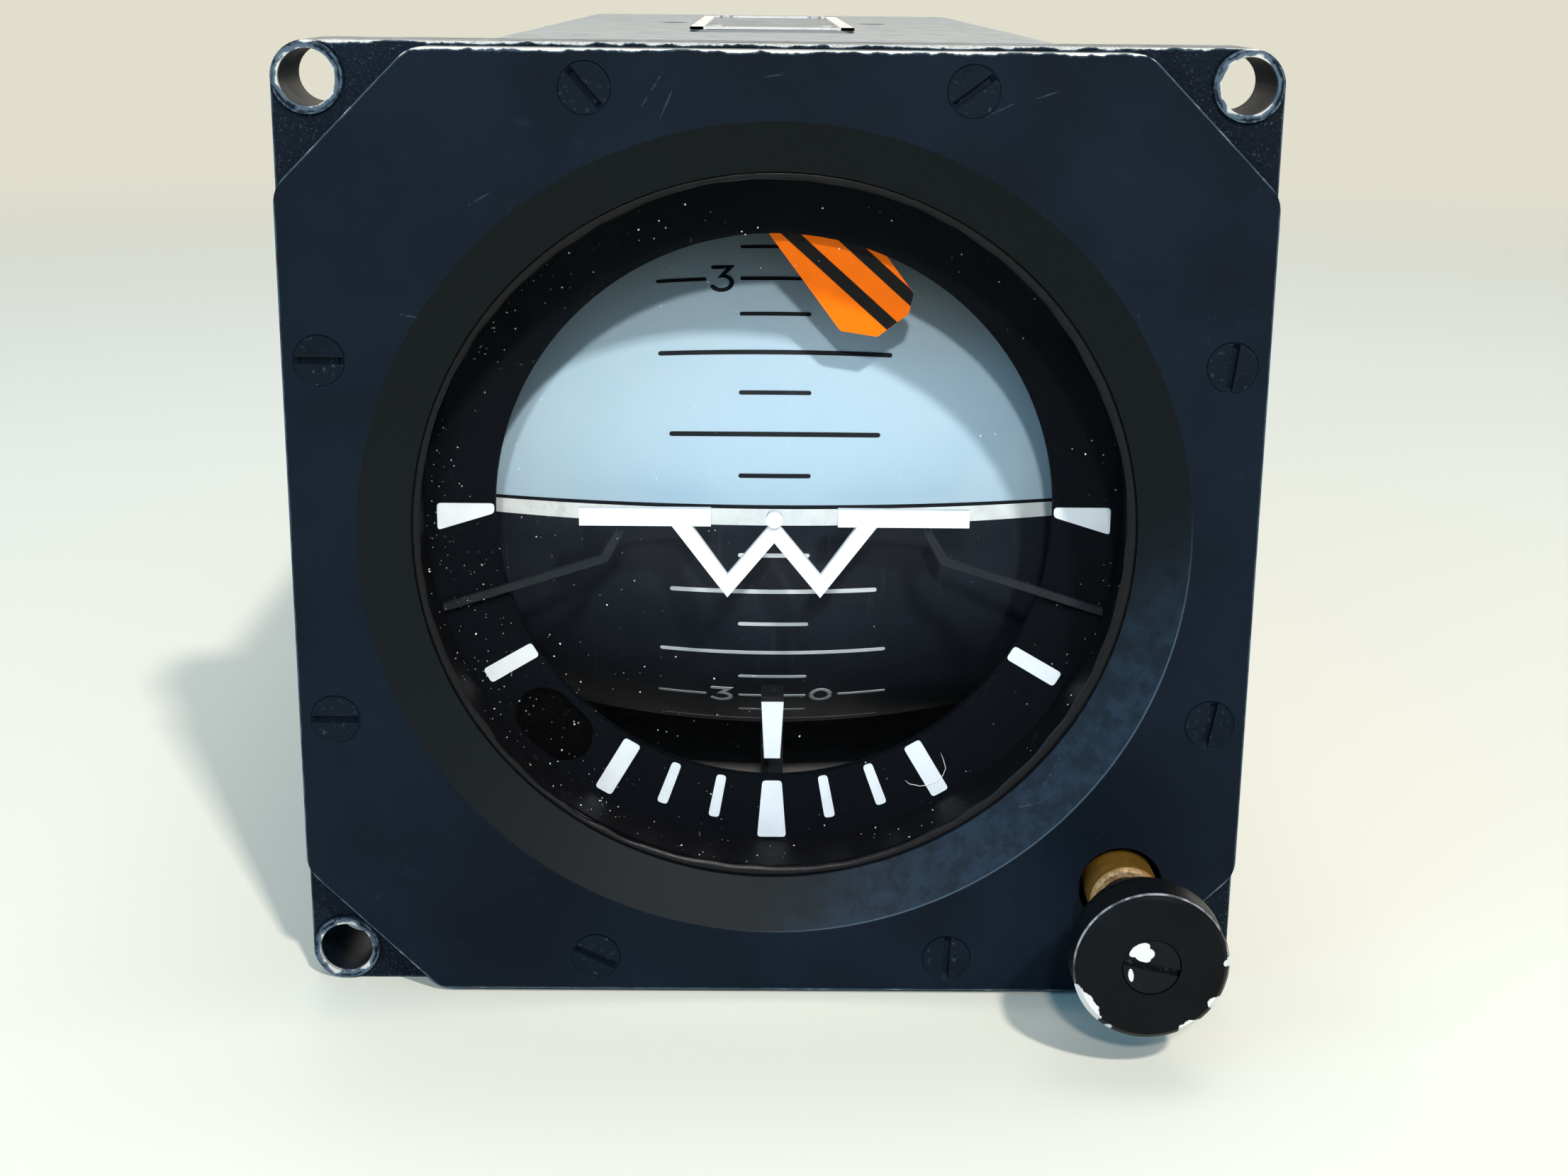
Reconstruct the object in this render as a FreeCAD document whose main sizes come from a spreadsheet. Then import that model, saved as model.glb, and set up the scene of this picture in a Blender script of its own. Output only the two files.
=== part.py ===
import FreeCAD, Part
import math
import os
import Sketcher
from FreeCAD import Placement, Rotation, Vector

# Self-contained three-inch attitude indicator, all lengths in millimetres.
# +X is right, +Y runs back into the panel and +Z is up.  The origin is the centre of the
# four panel-screw holes on the rear face of the mounting flange.

doc = FreeCAD.newDocument("attitude_indicator")
sheet = doc.addObject("Spreadsheet::Sheet", "Dims")

# Ways to lay a sub-part's own axes in the instrument.
FRONT = Rotation(Vector(1, 0, 0), 90)     # own x, y, z run along +X, +Z, -Y
SIDE = Rotation(Vector(1, 1, 1), 120)     # own x, y, z run along +Y, +Z, +X
UPRIGHT = Rotation()                      # own axes are the instrument's


class Length:
    """A length in millimetres with the spreadsheet expression that gives it."""

    def __init__(self, value, text):
        self.value = float(value)
        self.text = text

    def __add__(self, other):
        other = as_length(other)
        return Length(self.value + other.value, "(%s + %s)" % (self.text, other.text))

    def __sub__(self, other):
        other = as_length(other)
        return Length(self.value - other.value, "(%s - %s)" % (self.text, other.text))

    def __mul__(self, factor):
        return Length(self.value * factor, "(%s * (%.9g))" % (self.text, factor))

    def __truediv__(self, divisor):
        return self * (1 / divisor)

    def __neg__(self):
        return self * -1


def as_length(item):
    return item if isinstance(item, Length) else Length(item, "(%.9g)" % item)


def size(alias, value):
    """Writes one driving dimension to the sheet and returns it as a length."""
    row = len(sheet.getUsedCells()) // 2 + 1
    sheet.set("A%d" % row, alias)
    sheet.set("B%d" % row, str(value))
    sheet.setAlias("B%d" % row, alias)
    return Length(value, "Dims." + alias)


# --- Driving dimensions -------------------------------------------------------------------

fit_gap = size("fit_gap", 0.1)                      # slip fit between still parts
run_gap = size("run_gap", 0.05)                     # radial gap of a turning or sliding fit

# Bezel: mounting flange with the front plate screwed on it.
flange_half = size("flange_half", 41.5)
flange_thick = size("flange_thick", 8.6)
corner_radius = size("corner_radius", 3.0)
panel_hole_inset = size("panel_hole_inset", 3.0)
panel_hole_half = flange_half - panel_hole_inset
panel_hole_radius = size("panel_hole_radius", 2.35)
boss_radius = size("boss_radius", 2.95)
boss_height = size("boss_height", 0.3)
land_height = size("land_height", 0.4)              # corner lands that meet the panel
land_gap = size("land_gap", 0.5)
plate_thick = size("plate_thick", 3.0)
plate_step = size("plate_step", 0.4)                # flange edge to plate edge
plate_half = flange_half - plate_step
plate_cut_step = size("plate_cut_step", 8.6)        # flange's sharp corner to the corner cuts
plate_cut = flange_half * math.sqrt(2) - plate_cut_step
plate_corner = size("plate_corner", 3.0)
cover_corner = size("cover_corner", 1.2)
bevel_depth = size("bevel_depth", 2.5)
plate_screw_near = size("plate_screw_near", 15.7)
plate_screw_inset = size("plate_screw_inset", 3.1)
plate_screw_far = plate_half - plate_screw_inset
plate_screw_head = size("plate_screw_head", 2.1)
plate_screw_shank = size("plate_screw_shank", 1.25)
plate_screw_length = size("plate_screw_length", 7.0)
screw_slot_width = size("screw_slot_width", 0.6)
screw_slot_depth = size("screw_slot_depth", 0.5)

# Case section, which the dial and the gimbals are fitted inside.
case_step = size("case_step", 1.2)                  # flange edge to case flat
case_half = flange_half - case_step
case_cut_step = size("case_cut_step", 8.0)         # case's sharp corner to its 45 degree flats
case_cut = case_half * math.sqrt(2) - case_cut_step
case_wall = size("case_wall", 1.6)
case_inner = case_half - case_wall
case_inner_cut = case_cut - case_wall

# Window and dial.
seal_thick = size("seal_thick", 0.3)
mask_margin = size("mask_margin", 2.4)              # mask's edge to the case wall
mask_radius = case_inner - mask_margin
glass_inset = size("glass_inset", 1.9)              # mask's edge to the glass edge
glass_radius = mask_radius - glass_inset
seal_width = size("seal_width", 3.6)
seal_inner = glass_radius - seal_width
glass_thick = size("glass_thick", 2.5)
glass_ledge = size("glass_ledge", 2.9)
tube_radius = glass_radius - glass_ledge
bevel_spread = size("bevel_spread", 1.1)
bevel_outer = glass_radius + bevel_spread
bevel_lip = size("bevel_lip", 0.2)
bevel_inner = tube_radius - bevel_lip
mask_front = size("mask_front", 0.4)
mask_thick = size("mask_thick", 1.0)
mask_face_width = size("mask_face_width", 11.1)
aperture_radius = mask_radius - mask_face_width
mask_window_offset = size("mask_window_offset", 3.4)
mask_window_round = aperture_radius + mask_window_offset
mask_window_length = size("mask_window_length", 8.0)
mask_window_width = size("mask_window_width", 5.4)
mask_screw_inset = size("mask_screw_inset", 2.3)
mask_screw_round = mask_radius - mask_screw_inset
mask_screw_shank = size("mask_screw_shank", 0.7)
mask_screw_head = size("mask_screw_head", 1.3)
mask_screw_height = size("mask_screw_height", 0.8)
mask_screw_length = size("mask_screw_length", 3.0)
symbol_rear = size("symbol_rear", -0.4)
symbol_thick = size("symbol_thick", 0.8)
wing_inner = size("wing_inner", 5.7)
wing_outer = size("wing_outer", 17.5)
wing_half = size("wing_half", 0.8)
symbol_drop = size("symbol_drop", 7.4)              # centre line to the lowest points
symbol_stroke = size("symbol_stroke", 2.1)          # height of a slanting stroke
symbol_low_x = size("symbol_low_x", 4.2)
symbol_join_x = size("symbol_join_x", 8.6)
symbol_dot = size("symbol_dot", 0.75)
symbol_dot_drop = size("symbol_dot_drop", 0.1)
symbol_peak_drop = size("symbol_peak_drop", 0.2)    # centre line to the middle peak
SYMBOL_SLANT = 0.43                                 # half of a stroke's width over its height
wire_width = size("wire_width", 0.7)
wire_start_x = size("wire_start_x", 13.6)
wire_start_z = size("wire_start_z", -1.0)
wire_bend_x = size("wire_bend_x", 15.4)
wire_bend_z = size("wire_bend_z", -4.2)
wire_end_inset = size("wire_end_inset", 1.5)
wire_end_x = tube_radius - wire_end_inset
wire_end_z = size("wire_end_z", -8.8)

# Case.
case_length = size("case_length", 188.0)
spigot_depth = size("spigot_depth", 6.0)
mask_clearance = size("mask_clearance", 0.3)
spigot_bore = mask_radius + mask_clearance
case_screw_offset = size("case_screw_offset", 14.0)
case_screw_head = size("case_screw_head", 1.9)
case_screw_shank = size("case_screw_shank", 1.0)
case_screw_length = size("case_screw_length", 4.4)
cover_thick = size("cover_thick", 3.0)
cover_spigot_depth = size("cover_spigot_depth", 4.0)
cover_spigot_wall = size("cover_spigot_wall", 1.8)
cover_screw_head = size("cover_screw_head", 2.6)
cover_screw_shank = size("cover_screw_shank", 1.2)
cover_screw_height = size("cover_screw_height", 1.6)
cover_screw_length = size("cover_screw_length", 9.0)

# Rear connector.
connector_drop = size("connector_drop", 12.0)       # below the instrument's axis
connector_flange = size("connector_flange", 12.0)
connector_flange_thick = size("connector_flange_thick", 2.0)
connector_corner = size("connector_corner", 2.0)
connector_shell_radius = size("connector_shell_radius", 9.2)
connector_shell_wall = size("connector_shell_wall", 1.2)
connector_length = size("connector_length", 14.0)
connector_hole_half = size("connector_hole_half", 9.1)
connector_screw_head = size("connector_screw_head", 2.2)
pin_radius = size("pin_radius", 0.5)
pin_circle = size("pin_circle", 4.8)
pin_length = size("pin_length", 17.0)
pin_room = size("pin_room", 2.4)                    # pins' tails to the rear circuit board

# Pull knob and its linkage.
rod_inset = size("rod_inset", 6.8)                  # rod's axis to the inside of the case
rod_x = (case_inner_cut - rod_inset) / math.sqrt(2)
rod_z = -rod_x
knob_offset = size("knob_offset", 2.3)              # knob's axis from the rod's, each way
knob_x = rod_x + knob_offset
knob_z = rod_z - knob_offset
knob_radius = size("knob_radius", 6.45)
knob_rim = size("knob_rim", 3.0)
knob_front = size("knob_front", -28.1)
knob_edge = size("knob_edge", 0.45)
knob_neck = size("knob_neck", 2.6)
knob_clear = size("knob_clear", 0.5)                # knob to the end of its bush
knob_screw_head = size("knob_screw_head", 2.35)
knob_screw_height = size("knob_screw_height", 1.1)
knob_screw_shank = size("knob_screw_shank", 1.0)
knob_screw_length = size("knob_screw_length", 7.0)
bush_radius = size("bush_radius", 3.175)
bush_proud = size("bush_proud", 3.3)
bush_hole_radius = size("bush_hole_radius", 3.75)
bush_lip = size("bush_lip", 0.35)
knob_shaft_radius = size("knob_shaft_radius", 1.6)
pocket_radius = size("pocket_radius", 3.0)
pocket_depth = size("pocket_depth", 6.4)
pocket_cover_thick = size("pocket_cover_thick", 1.0)
pull_travel = size("pull_travel", 4.0)
arm_thick = size("arm_thick", 1.2)
arm_radius = size("arm_radius", 2.4)
rod_radius = size("rod_radius", 1.1)
spring_length = size("spring_length", 15.0)
spring_radius = size("spring_radius", 1.85)
spring_wire = size("spring_wire", 0.5)
spring_turns = size("spring_turns", 6.0)
collar_radius = size("collar_radius", 2.2)
collar_thick = size("collar_thick", 1.2)
rod_guide = size("rod_guide", 2.5)                  # rod's end behind its guide hole
cam_front = size("cam_front", 110.0)                # where the switch cam's cone begins
cam_rise = size("cam_rise", 1.2)
switch_length = size("switch_length", 12.0)
switch_width = size("switch_width", 6.0)
switch_height = size("switch_height", 4.2)
switch_offset = size("switch_offset", 2.9)          # rod's axis to the switch's outer face
switch_foot_width = size("switch_foot_width", 2.6)
switch_corner = size("switch_corner", 0.6)
switch_gap = size("switch_gap", 4.3)                # rod's axis to the switch body
plunger_radius = size("plunger_radius", 0.7)
plunger_length = size("plunger_length", 5.0)

# Warning flag.
flag_pivot_x = size("flag_pivot_x", -2.8)
flag_pivot_inset = size("flag_pivot_inset", 2.5)
flag_pivot_z = mask_radius - flag_pivot_inset
flag_front = size("flag_front", 1.9)
flag_thick = size("flag_thick", 0.4)
flag_hub = size("flag_hub", 2.1)
flag_half = size("flag_half", 3.6)
flag_length = size("flag_length", 21.4)
flag_neck = size("flag_neck", 5.0)
flag_nose = size("flag_nose", 2.4)                  # depth of the corner cuts at the tip
flag_pin_radius = size("flag_pin_radius", 0.5)
flag_pin_end = size("flag_pin_end", 2.9)
coil_length = size("coil_length", 8.0)
coil_width = size("coil_width", 4.6)
coil_depth = size("coil_depth", 1.8)
coil_x = size("coil_x", -10.9)
coil_inset = size("coil_inset", 6.3)
coil_z = mask_radius - coil_inset

# Roll gimbal.
ring_front = size("ring_front", 3.6)
ring_thick = size("ring_thick", 2.6)
ring_clearance = size("ring_clearance", 0.8)        # mask's edge to the gimbal ring's
ring_outer = mask_radius - ring_clearance
ring_width = size("ring_width", 7.0)
ring_inner = ring_outer - ring_width
arm_inset = size("arm_inset", 4.5)
arm_inner = ring_outer - arm_inset
gimbal_arm_thick = size("gimbal_arm_thick", 2.5)
arm_half = size("arm_half", 13.5)
arm_waist = size("arm_waist", 8.0)
arm_rail = size("arm_rail", 3.0)                    # metal left beside the arm's windows
arm_window_inset = size("arm_window_inset", 2.0)
arm_window_corner = size("arm_window_corner", 1.5)
rear_plate_front = size("rear_plate_front", 118.5)
rear_plate_thick = size("rear_plate_thick", 3.0)
pointer_front = size("pointer_front", 2.9)
pointer_sheet = size("pointer_sheet", 0.4)
pointer_gap = size("pointer_gap", 0.9)              # pointer's tip to the mask's edge
pointer_tip = pointer_gap - aperture_radius
pointer_length = size("pointer_length", 6.1)
pointer_top = pointer_tip + pointer_length
pointer_wide = size("pointer_wide", 1.05)
pointer_narrow = size("pointer_narrow", 0.75)
pointer_foot_inset = size("pointer_foot_inset", 2.5)
pointer_foot = pointer_foot_inset - ring_outer
shaft_radius = size("shaft_radius", 5.0)
shaft_bore = size("shaft_bore", 2.5)
ring_barrel_radius = size("ring_barrel_radius", 7.0)
slip_ring_depth = size("slip_ring_depth", 0.5)
slip_ring_width = size("slip_ring_width", 0.8)
slip_ring_count = 6
torquer_inner = size("torquer_inner", 18.0)
torquer_inset = size("torquer_inset", 5.5)
torquer_outer = ring_outer - torquer_inset
torquer_rotor_thick = size("torquer_rotor_thick", 1.8)
torquer_stator_thick = size("torquer_stator_thick", 2.2)

# Bearing housing behind the roll gimbal.
housing_front = size("housing_front", 126.0)
housing_thick = size("housing_thick", 6.0)
hub_radius = size("hub_radius", 13.0)
rear_bay = case_length - housing_front - housing_thick   # housing to the rear cover
hub_share = 0.268                                   # shares of the rear bay's depth
ring_barrel_share = 0.196
board_share = 0.59
board_pitch_share = 0.232
hub_end = housing_front + housing_thick + rear_bay * hub_share
ring_barrel_gap = size("ring_barrel_gap", 2.0)
ring_barrel_front = hub_end + ring_barrel_gap
ring_barrel_length = rear_bay * ring_barrel_share
shaft_tail = size("shaft_tail", 1.0)
shaft_end = ring_barrel_front + ring_barrel_length + shaft_tail
bearing_outer = size("bearing_outer", 9.0)
bearing_width = size("bearing_width", 5.0)
bearing_step = size("bearing_step", 1.0)
tie_rod_inset = size("tie_rod_inset", 10.6)         # rods' axes to the inside of the case
tie_rod_place = (case_inner_cut - tie_rod_inset) / math.sqrt(2)
tie_rod_radius = size("tie_rod_radius", 2.5)
board_front = housing_front + housing_thick + rear_bay * board_share
board_pitch = rear_bay * board_pitch_share
board_thick = size("board_thick", 1.6)
board_margin = size("board_margin", 3.0)
board_half = case_inner - board_margin
board_cut = case_inner_cut - board_margin
brush_block_width = size("brush_block_width", 9.0)
brush_block_depth = size("brush_block_depth", 6.0)
brush_width = size("brush_width", 0.5)
brush_reach = size("brush_reach", 1.5)
transformer_width = size("transformer_width", 24.0)
transformer_height = size("transformer_height", 20.0)
board_room = size("board_room", 1.5)                # tallest part to the next board
transformer_depth = board_pitch - board_thick - board_room * 1.5
core_step = size("core_step", 1.5)                  # winding's face to the core's
core_inset = size("core_inset", 4.0)
core_reach = size("core_reach", 3.0)
capacitor_radius = size("capacitor_radius", 4.0)
capacitor_depth = board_pitch - board_thick - board_room
capacitor_offset = size("capacitor_offset", 22.0)

# Pitch drum.
drum_overlap = size("drum_overlap", 3.8)            # drum's radius over the mask opening's
drum_radius = aperture_radius + drum_overlap
drum_front = size("drum_front", 3.0)
drum_y = drum_front + drum_radius
drum_side_gap = size("drum_side_gap", 3.5)          # drum's end to the gimbal arm
drum_half = arm_inner - drum_side_gap
drum_barrel = size("drum_barrel", 90.0)             # radius of the barrel's side profile
drum_wall = size("drum_wall", 1.2)
drum_cap_thick = size("drum_cap_thick", 1.2)
drum_hub_radius = size("drum_hub_radius", 5.0)
drum_hub_length = size("drum_hub_length", 3.0)
axle_radius = size("axle_radius", 2.0)
axle_half = arm_inner + gimbal_arm_thick
small_bearing_radius = size("small_bearing_radius", 4.0)

# Gear train from the gyro's pitch axis to the drum, all in one plane on the right.
gear_thick = size("gear_thick", 2.0)
gear_side_gap = size("gear_side_gap", 0.7)
gear_left = arm_inner - gear_side_gap - gear_thick
gear_bore = size("gear_bore", 1.5)
pin_head_thick = size("pin_head_thick", 0.5)
pin_head_radius = size("pin_head_radius", 2.4)
pin_shoulder_radius = size("pin_shoulder_radius", 3.0)
GIMBAL_TEETH = 36
IDLER_TEETH = 21
DRUM_TEETH = 24
drum_gear_diameter = size("drum_gear_diameter", 19.2)    # at its pitch circle
gear_module = drum_gear_diameter / DRUM_TEETH

# Gyro.
gyro_radius = size("gyro_radius", 19.5)
gyro_half = size("gyro_half", 14.5)
gyro_wall = size("gyro_wall", 1.5)
gyro_cover_thick = size("gyro_cover_thick", 1.5)
trunnion_radius = size("trunnion_radius", 2.0)
trunnion_collar = size("trunnion_collar", 3.4)
rotor_radius = size("rotor_radius", 16.5)
rotor_half = size("rotor_half", 9.0)
rotor_web = size("rotor_web", 2.0)
rotor_rim_thick = size("rotor_rim_thick", 5.0)
rotor_shaft_radius = size("rotor_shaft_radius", 1.5)
rotor_shoulder = size("rotor_shoulder", 1.0)
rotor_taper = size("rotor_taper", 2.0)
winding_radius = size("winding_radius", 10.6)
winding_bore_radius = size("winding_bore_radius", 4.2)
winding_foot = size("winding_foot", 3.2)
winding_gap = size("winding_gap", 1.0)              # stator to the rotor's web
winding_lift = size("winding_lift", 1.5)
seat_wall = size("seat_wall", 1.2)
rotor_bearing_radius = size("rotor_bearing_radius", 4.0)
rotor_bearing_height = size("rotor_bearing_height", 2.5)

doc.recompute()

# Stations along Y and other lengths that several parts share.
plate_back = -flange_thick
plate_front = plate_back - plate_thick
glass_front = plate_back + seal_thick
glass_back = glass_front + glass_thick
mask_back = mask_front + mask_thick
symbol_front = symbol_rear - symbol_thick
cover_front = case_length
cover_back = case_length + cover_thick
housing_back = housing_front + housing_thick
flange_screw_station = spigot_depth / 2
housing_screw_station = housing_front + housing_thick / 2
ring_back = ring_front + ring_thick
rear_plate_back = rear_plate_front + rear_plate_thick
arm_outer = arm_inner + gimbal_arm_thick
gear_right = gear_left + gear_thick
pocket_floor = -pocket_depth
arm_back = -pocket_cover_thick - run_gap
bush_front = plate_front - bush_proud
knob_back = bush_front - knob_clear
drum_to_idler = gear_module * ((DRUM_TEETH + IDLER_TEETH) / 2)
idler_to_idler = gear_module * IDLER_TEETH
idler_to_gimbal = gear_module * ((IDLER_TEETH + GIMBAL_TEETH) / 2)
front_idler_y = drum_y + drum_to_idler
rear_idler_y = front_idler_y + idler_to_idler
gyro_y = rear_idler_y + idler_to_gimbal
back_board_front = board_front + board_pitch
connector_tail = cover_front - back_board_front - board_thick - pin_room
rod_end = housing_back + rod_guide
plunger_station = cam_front - plunger_radius - run_gap * 2
rod_height = (rod_z - rod_x) / math.sqrt(2)         # rod's axis in the switch's own z


# --- Drawing helpers ----------------------------------------------------------------------

def bind(thing, path, length):
    """Ties one property of a document object to the spreadsheet."""
    thing.setExpression(path, as_length(length).text)


def new_body(label, turn=FRONT, x=0, y=0, z=0):
    body = doc.addObject("PartDesign::Body", label)
    body.Label = label
    body.AllowCompound = True
    x, y, z = as_length(x), as_length(y), as_length(z)
    body.Placement = Placement(Vector(x.value, y.value, z.value), turn)
    for axis, place in (("x", x), ("y", y), ("z", z)):
        bind(body, "Placement.Base." + axis, place)
    return body


def new_sketch(body, role, lift=0):
    sketch = body.newObject("Sketcher::SketchObject", body.Label + "_sketch")
    plane = next(item for item in body.Origin.OriginFeatures if item.Role == role)
    sketch.AttachmentSupport = [(plane, "")]
    sketch.MapMode = "FlatFace"
    bind(sketch, "AttachmentOffset.Base.z", lift)
    return sketch


def dimension(sketch, kind, target, length):
    """Adds one dimension to a sketch; the target is what the constraint names."""
    index = sketch.addConstraint(Sketcher.Constraint(kind, *target, length.value))
    bind(sketch, "Constraints[%d]" % index, length)


def pin_point(sketch, geometry, corner, x, y):
    dimension(sketch, "DistanceX", (-1, 1, geometry, corner), x)
    dimension(sketch, "DistanceY", (-1, 1, geometry, corner), y)


def circle(x, y, radius):
    x, y, radius = as_length(x), as_length(y), as_length(radius)

    def draw(sketch):
        ring = Part.Circle(Vector(x.value, y.value, 0), Vector(0, 0, 1), radius.value)
        index = sketch.addGeometry(ring, False)
        pin_point(sketch, index, 3, x, y)
        dimension(sketch, "Radius", (index,), radius)

    return draw


def round_corner(points, index, radius):
    """The arc that rounds one corner, and whether it runs the outline's own way."""
    here = points[index]
    before = (points[index - 1] - here).normalize()
    after = (points[(index + 1) % len(points)] - here).normalize()
    half = before.getAngle(after) / 2
    centre = here + (before + after).normalize() * (radius / math.sin(half))
    entry = here + before * (radius / math.tan(half))
    leave = here + after * (radius / math.tan(half))
    turns_left = before.cross(after).z < 0
    first, last = (entry, leave) if turns_left else (leave, entry)
    angles = [math.atan2(spot.y - centre.y, spot.x - centre.x) for spot in (first, last)]
    if angles[1] < angles[0]:
        angles[1] += 2 * math.pi
    ring = Part.Circle(centre, Vector(0, 0, 1), radius)
    return Part.ArcOfCircle(ring, *angles), entry, leave, turns_left


def polygon(*corners):
    """A closed outline; a corner's third value is the radius that rounds it."""
    corners = [[as_length(item) for item in corner] for corner in corners]

    def draw(sketch):
        points = [Vector(corner[0].value, corner[1].value, 0) for corner in corners]
        arcs = [round_corner(points, index, corner[2].value) if len(corner) == 3 else None
                for index, corner in enumerate(corners)]
        lines = []
        for index, point in enumerate(points):
            follower = (index + 1) % len(points)
            start = arcs[index][2] if arcs[index] else point
            end = arcs[follower][1] if arcs[follower] else points[follower]
            lines.append(sketch.addGeometry(Part.LineSegment(start, end), False))
        for index, corner in enumerate(corners):
            arriving, leaving = lines[index - 1], lines[index]
            if arcs[index] is None:
                sketch.addConstraint(Sketcher.Constraint("Coincident", arriving, 2, leaving, 1))
                pin_point(sketch, leaving, 1, corner[0], corner[1])
                continue
            arc = sketch.addGeometry(arcs[index][0], False)
            apex = sketch.addGeometry(Part.Point(points[index]), True)
            first, last = (1, 2) if arcs[index][3] else (2, 1)
            sketch.addConstraint([
                Sketcher.Constraint("Tangent", arriving, 2, arc, first),
                Sketcher.Constraint("Tangent", leaving, 1, arc, last),
                Sketcher.Constraint("PointOnObject", apex, 1, arriving),
                Sketcher.Constraint("PointOnObject", apex, 1, leaving)])
            pin_point(sketch, apex, 1, corner[0], corner[1])
            dimension(sketch, "Radius", (arc,), corner[2])

    return draw


def rectangle(left, right, bottom, top, *radius):
    return polygon((left, bottom, *radius), (right, bottom, *radius),
                   (right, top, *radius), (left, top, *radius))


def octagon(half, cut, *radius):
    """A square of the given half width whose corners are cut at 45 degrees."""
    half, cut = as_length(half), as_length(cut)
    reach = cut * math.sqrt(2) - half
    return polygon((half, -reach, *radius), (half, reach, *radius), (reach, half, *radius),
                   (-reach, half, *radius), (-half, reach, *radius), (-half, -reach, *radius),
                   (-reach, -half, *radius), (reach, -half, *radius))


def obround(x1, y1, x2, y2, radius):
    """The outline of two equal circles and the two lines that touch both."""
    x1, y1, x2, y2 = as_length(x1), as_length(y1), as_length(x2), as_length(y2)
    radius = as_length(radius)

    def draw(sketch):
        centres = [Vector(x1.value, y1.value, 0), Vector(x2.value, y2.value, 0)]
        along = math.atan2(centres[1].y - centres[0].y, centres[1].x - centres[0].x)
        arcs = []
        for centre, start in zip(centres, (along + math.pi / 2, along - math.pi / 2)):
            ring = Part.Circle(centre, Vector(0, 0, 1), radius.value)
            arcs.append(sketch.addGeometry(Part.ArcOfCircle(ring, start, start + math.pi),
                                           False))
        side = Vector(-math.sin(along), math.cos(along), 0) * radius.value
        upper = sketch.addGeometry(Part.LineSegment(centres[1] + side, centres[0] + side), False)
        lower = sketch.addGeometry(Part.LineSegment(centres[0] - side, centres[1] - side), False)
        sketch.addConstraint([
            Sketcher.Constraint("Tangent", arcs[0], 1, upper, 2),
            Sketcher.Constraint("Tangent", arcs[0], 2, lower, 1),
            Sketcher.Constraint("Tangent", arcs[1], 1, lower, 2),
            Sketcher.Constraint("Tangent", arcs[1], 2, upper, 1)])
        pin_point(sketch, arcs[0], 3, x1, y1)
        pin_point(sketch, arcs[1], 3, x2, y2)
        dimension(sketch, "Radius", (arcs[0],), radius)

    return draw


def prism(body, low, high, *loops):
    """Pads the loops along the body's own z, from low to high."""
    low, high = as_length(low), as_length(high)
    sketch = new_sketch(body, "XY_Plane", low)
    for loop in loops:
        loop(sketch)
    pad = body.newObject("PartDesign::Pad", body.Label + "_pad")
    pad.Profile = sketch
    bind(pad, "Length", high - low)
    return pad


def cut(body, low, high, *loops):
    """Pockets the loops along the body's own z, from low to high."""
    low, high = as_length(low), as_length(high)
    sketch = new_sketch(body, "XY_Plane", low)
    for loop in loops:
        loop(sketch)
    pocket = body.newObject("PartDesign::Pocket", body.Label + "_pocket")
    pocket.Profile = sketch
    pocket.Reversed = True
    bind(pocket, "Length", high - low)
    return pocket


def across(body, kind, low, high, *loops):
    """Pads or pockets loops of own (y, z) between two own x stations."""
    sketch = new_sketch(body, "YZ_Plane", low)
    for loop in loops:
        loop(sketch)
    feature = body.newObject("PartDesign::" + kind, body.Label + "_across")
    feature.Profile = sketch
    feature.Reversed = kind == "Pocket"
    bind(feature, "Length", high - low)


def slab(body, front, back, *loops):
    """A prism of a front-facing body between two stations along Y."""
    return prism(body, -as_length(back), -as_length(front), *loops)


def slab_cut(body, front, back, *loops):
    return cut(body, -as_length(back), -as_length(front), *loops)


def revolve(body, kind, *outlines):
    """Turns outlines of (radius, own z) about the body's own z axis."""
    sketch = new_sketch(body, "XZ_Plane")
    for outline in outlines:
        polygon(*outline)(sketch)
    feature = body.newObject("PartDesign::" + kind, body.Label + "_turned")
    feature.Profile = sketch
    feature.ReferenceAxis = (sketch, ["V_Axis"])
    feature.Angle = 360
    return feature


def along_y(outline):
    """An outline of (radius, Y) in the own axes of a front-facing body."""
    return [(radius, -as_length(station)) for radius, station in outline]


def bushing(bore, radius, low, high):
    """The outline of a plain ring: bore, outer radius and its two ends."""
    return [(bore, low), (radius, low), (radius, high), (bore, high)]


def corners(place):
    """The four places at plus and minus one distance."""
    place = as_length(place)
    return [(place * sx, place * sz) for sx in (-1, 1) for sz in (-1, 1)]


def polar(radius, degrees):
    angle = math.radians(degrees)
    return as_length(radius) * math.cos(angle), as_length(radius) * math.sin(angle)


def group(label, master, placements):
    """Separate copies of one fastener shape, all in one node."""
    node = doc.addObject("Part::Feature", label)
    node.Label = label
    copies = []
    for placement in placements:
        copy = master.copy()
        copy.Placement = placement
        copies.append(copy)
    node.Shape = Part.makeCompound(copies)
    return node


def screw(head, height, shank, length, countersunk=False):
    """A slotted screw along z: head's top at z = 0, shank towards -z."""
    head, height, shank, length = head.value, height.value, shank.value, length.value
    if countersunk:
        top = Part.makeCone(shank, head, height, Vector(0, 0, -height))
    else:
        top = Part.makeCylinder(head, height, Vector(0, 0, -height))
    solid = top.fuse(Part.makeCylinder(shank, length - height, Vector(0, 0, -length)))
    wide = screw_slot_width.value
    slot = Part.makeBox(2 * head + 1, wide, screw_slot_depth.value,
                        Vector(-head - 0.5, -wide / 2, -screw_slot_depth.value))
    return solid.cut(slot).removeSplitter()


# --- Bezel --------------------------------------------------------------------------------

def plate_screw_places():
    near, far = plate_screw_near, plate_screw_far
    return ([(near * sx, far * sz) for sx in (-1, 1) for sz in (-1, 1)]
            + [(far * sx, near * sz) for sx in (-1, 1) for sz in (-1, 1)])


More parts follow.
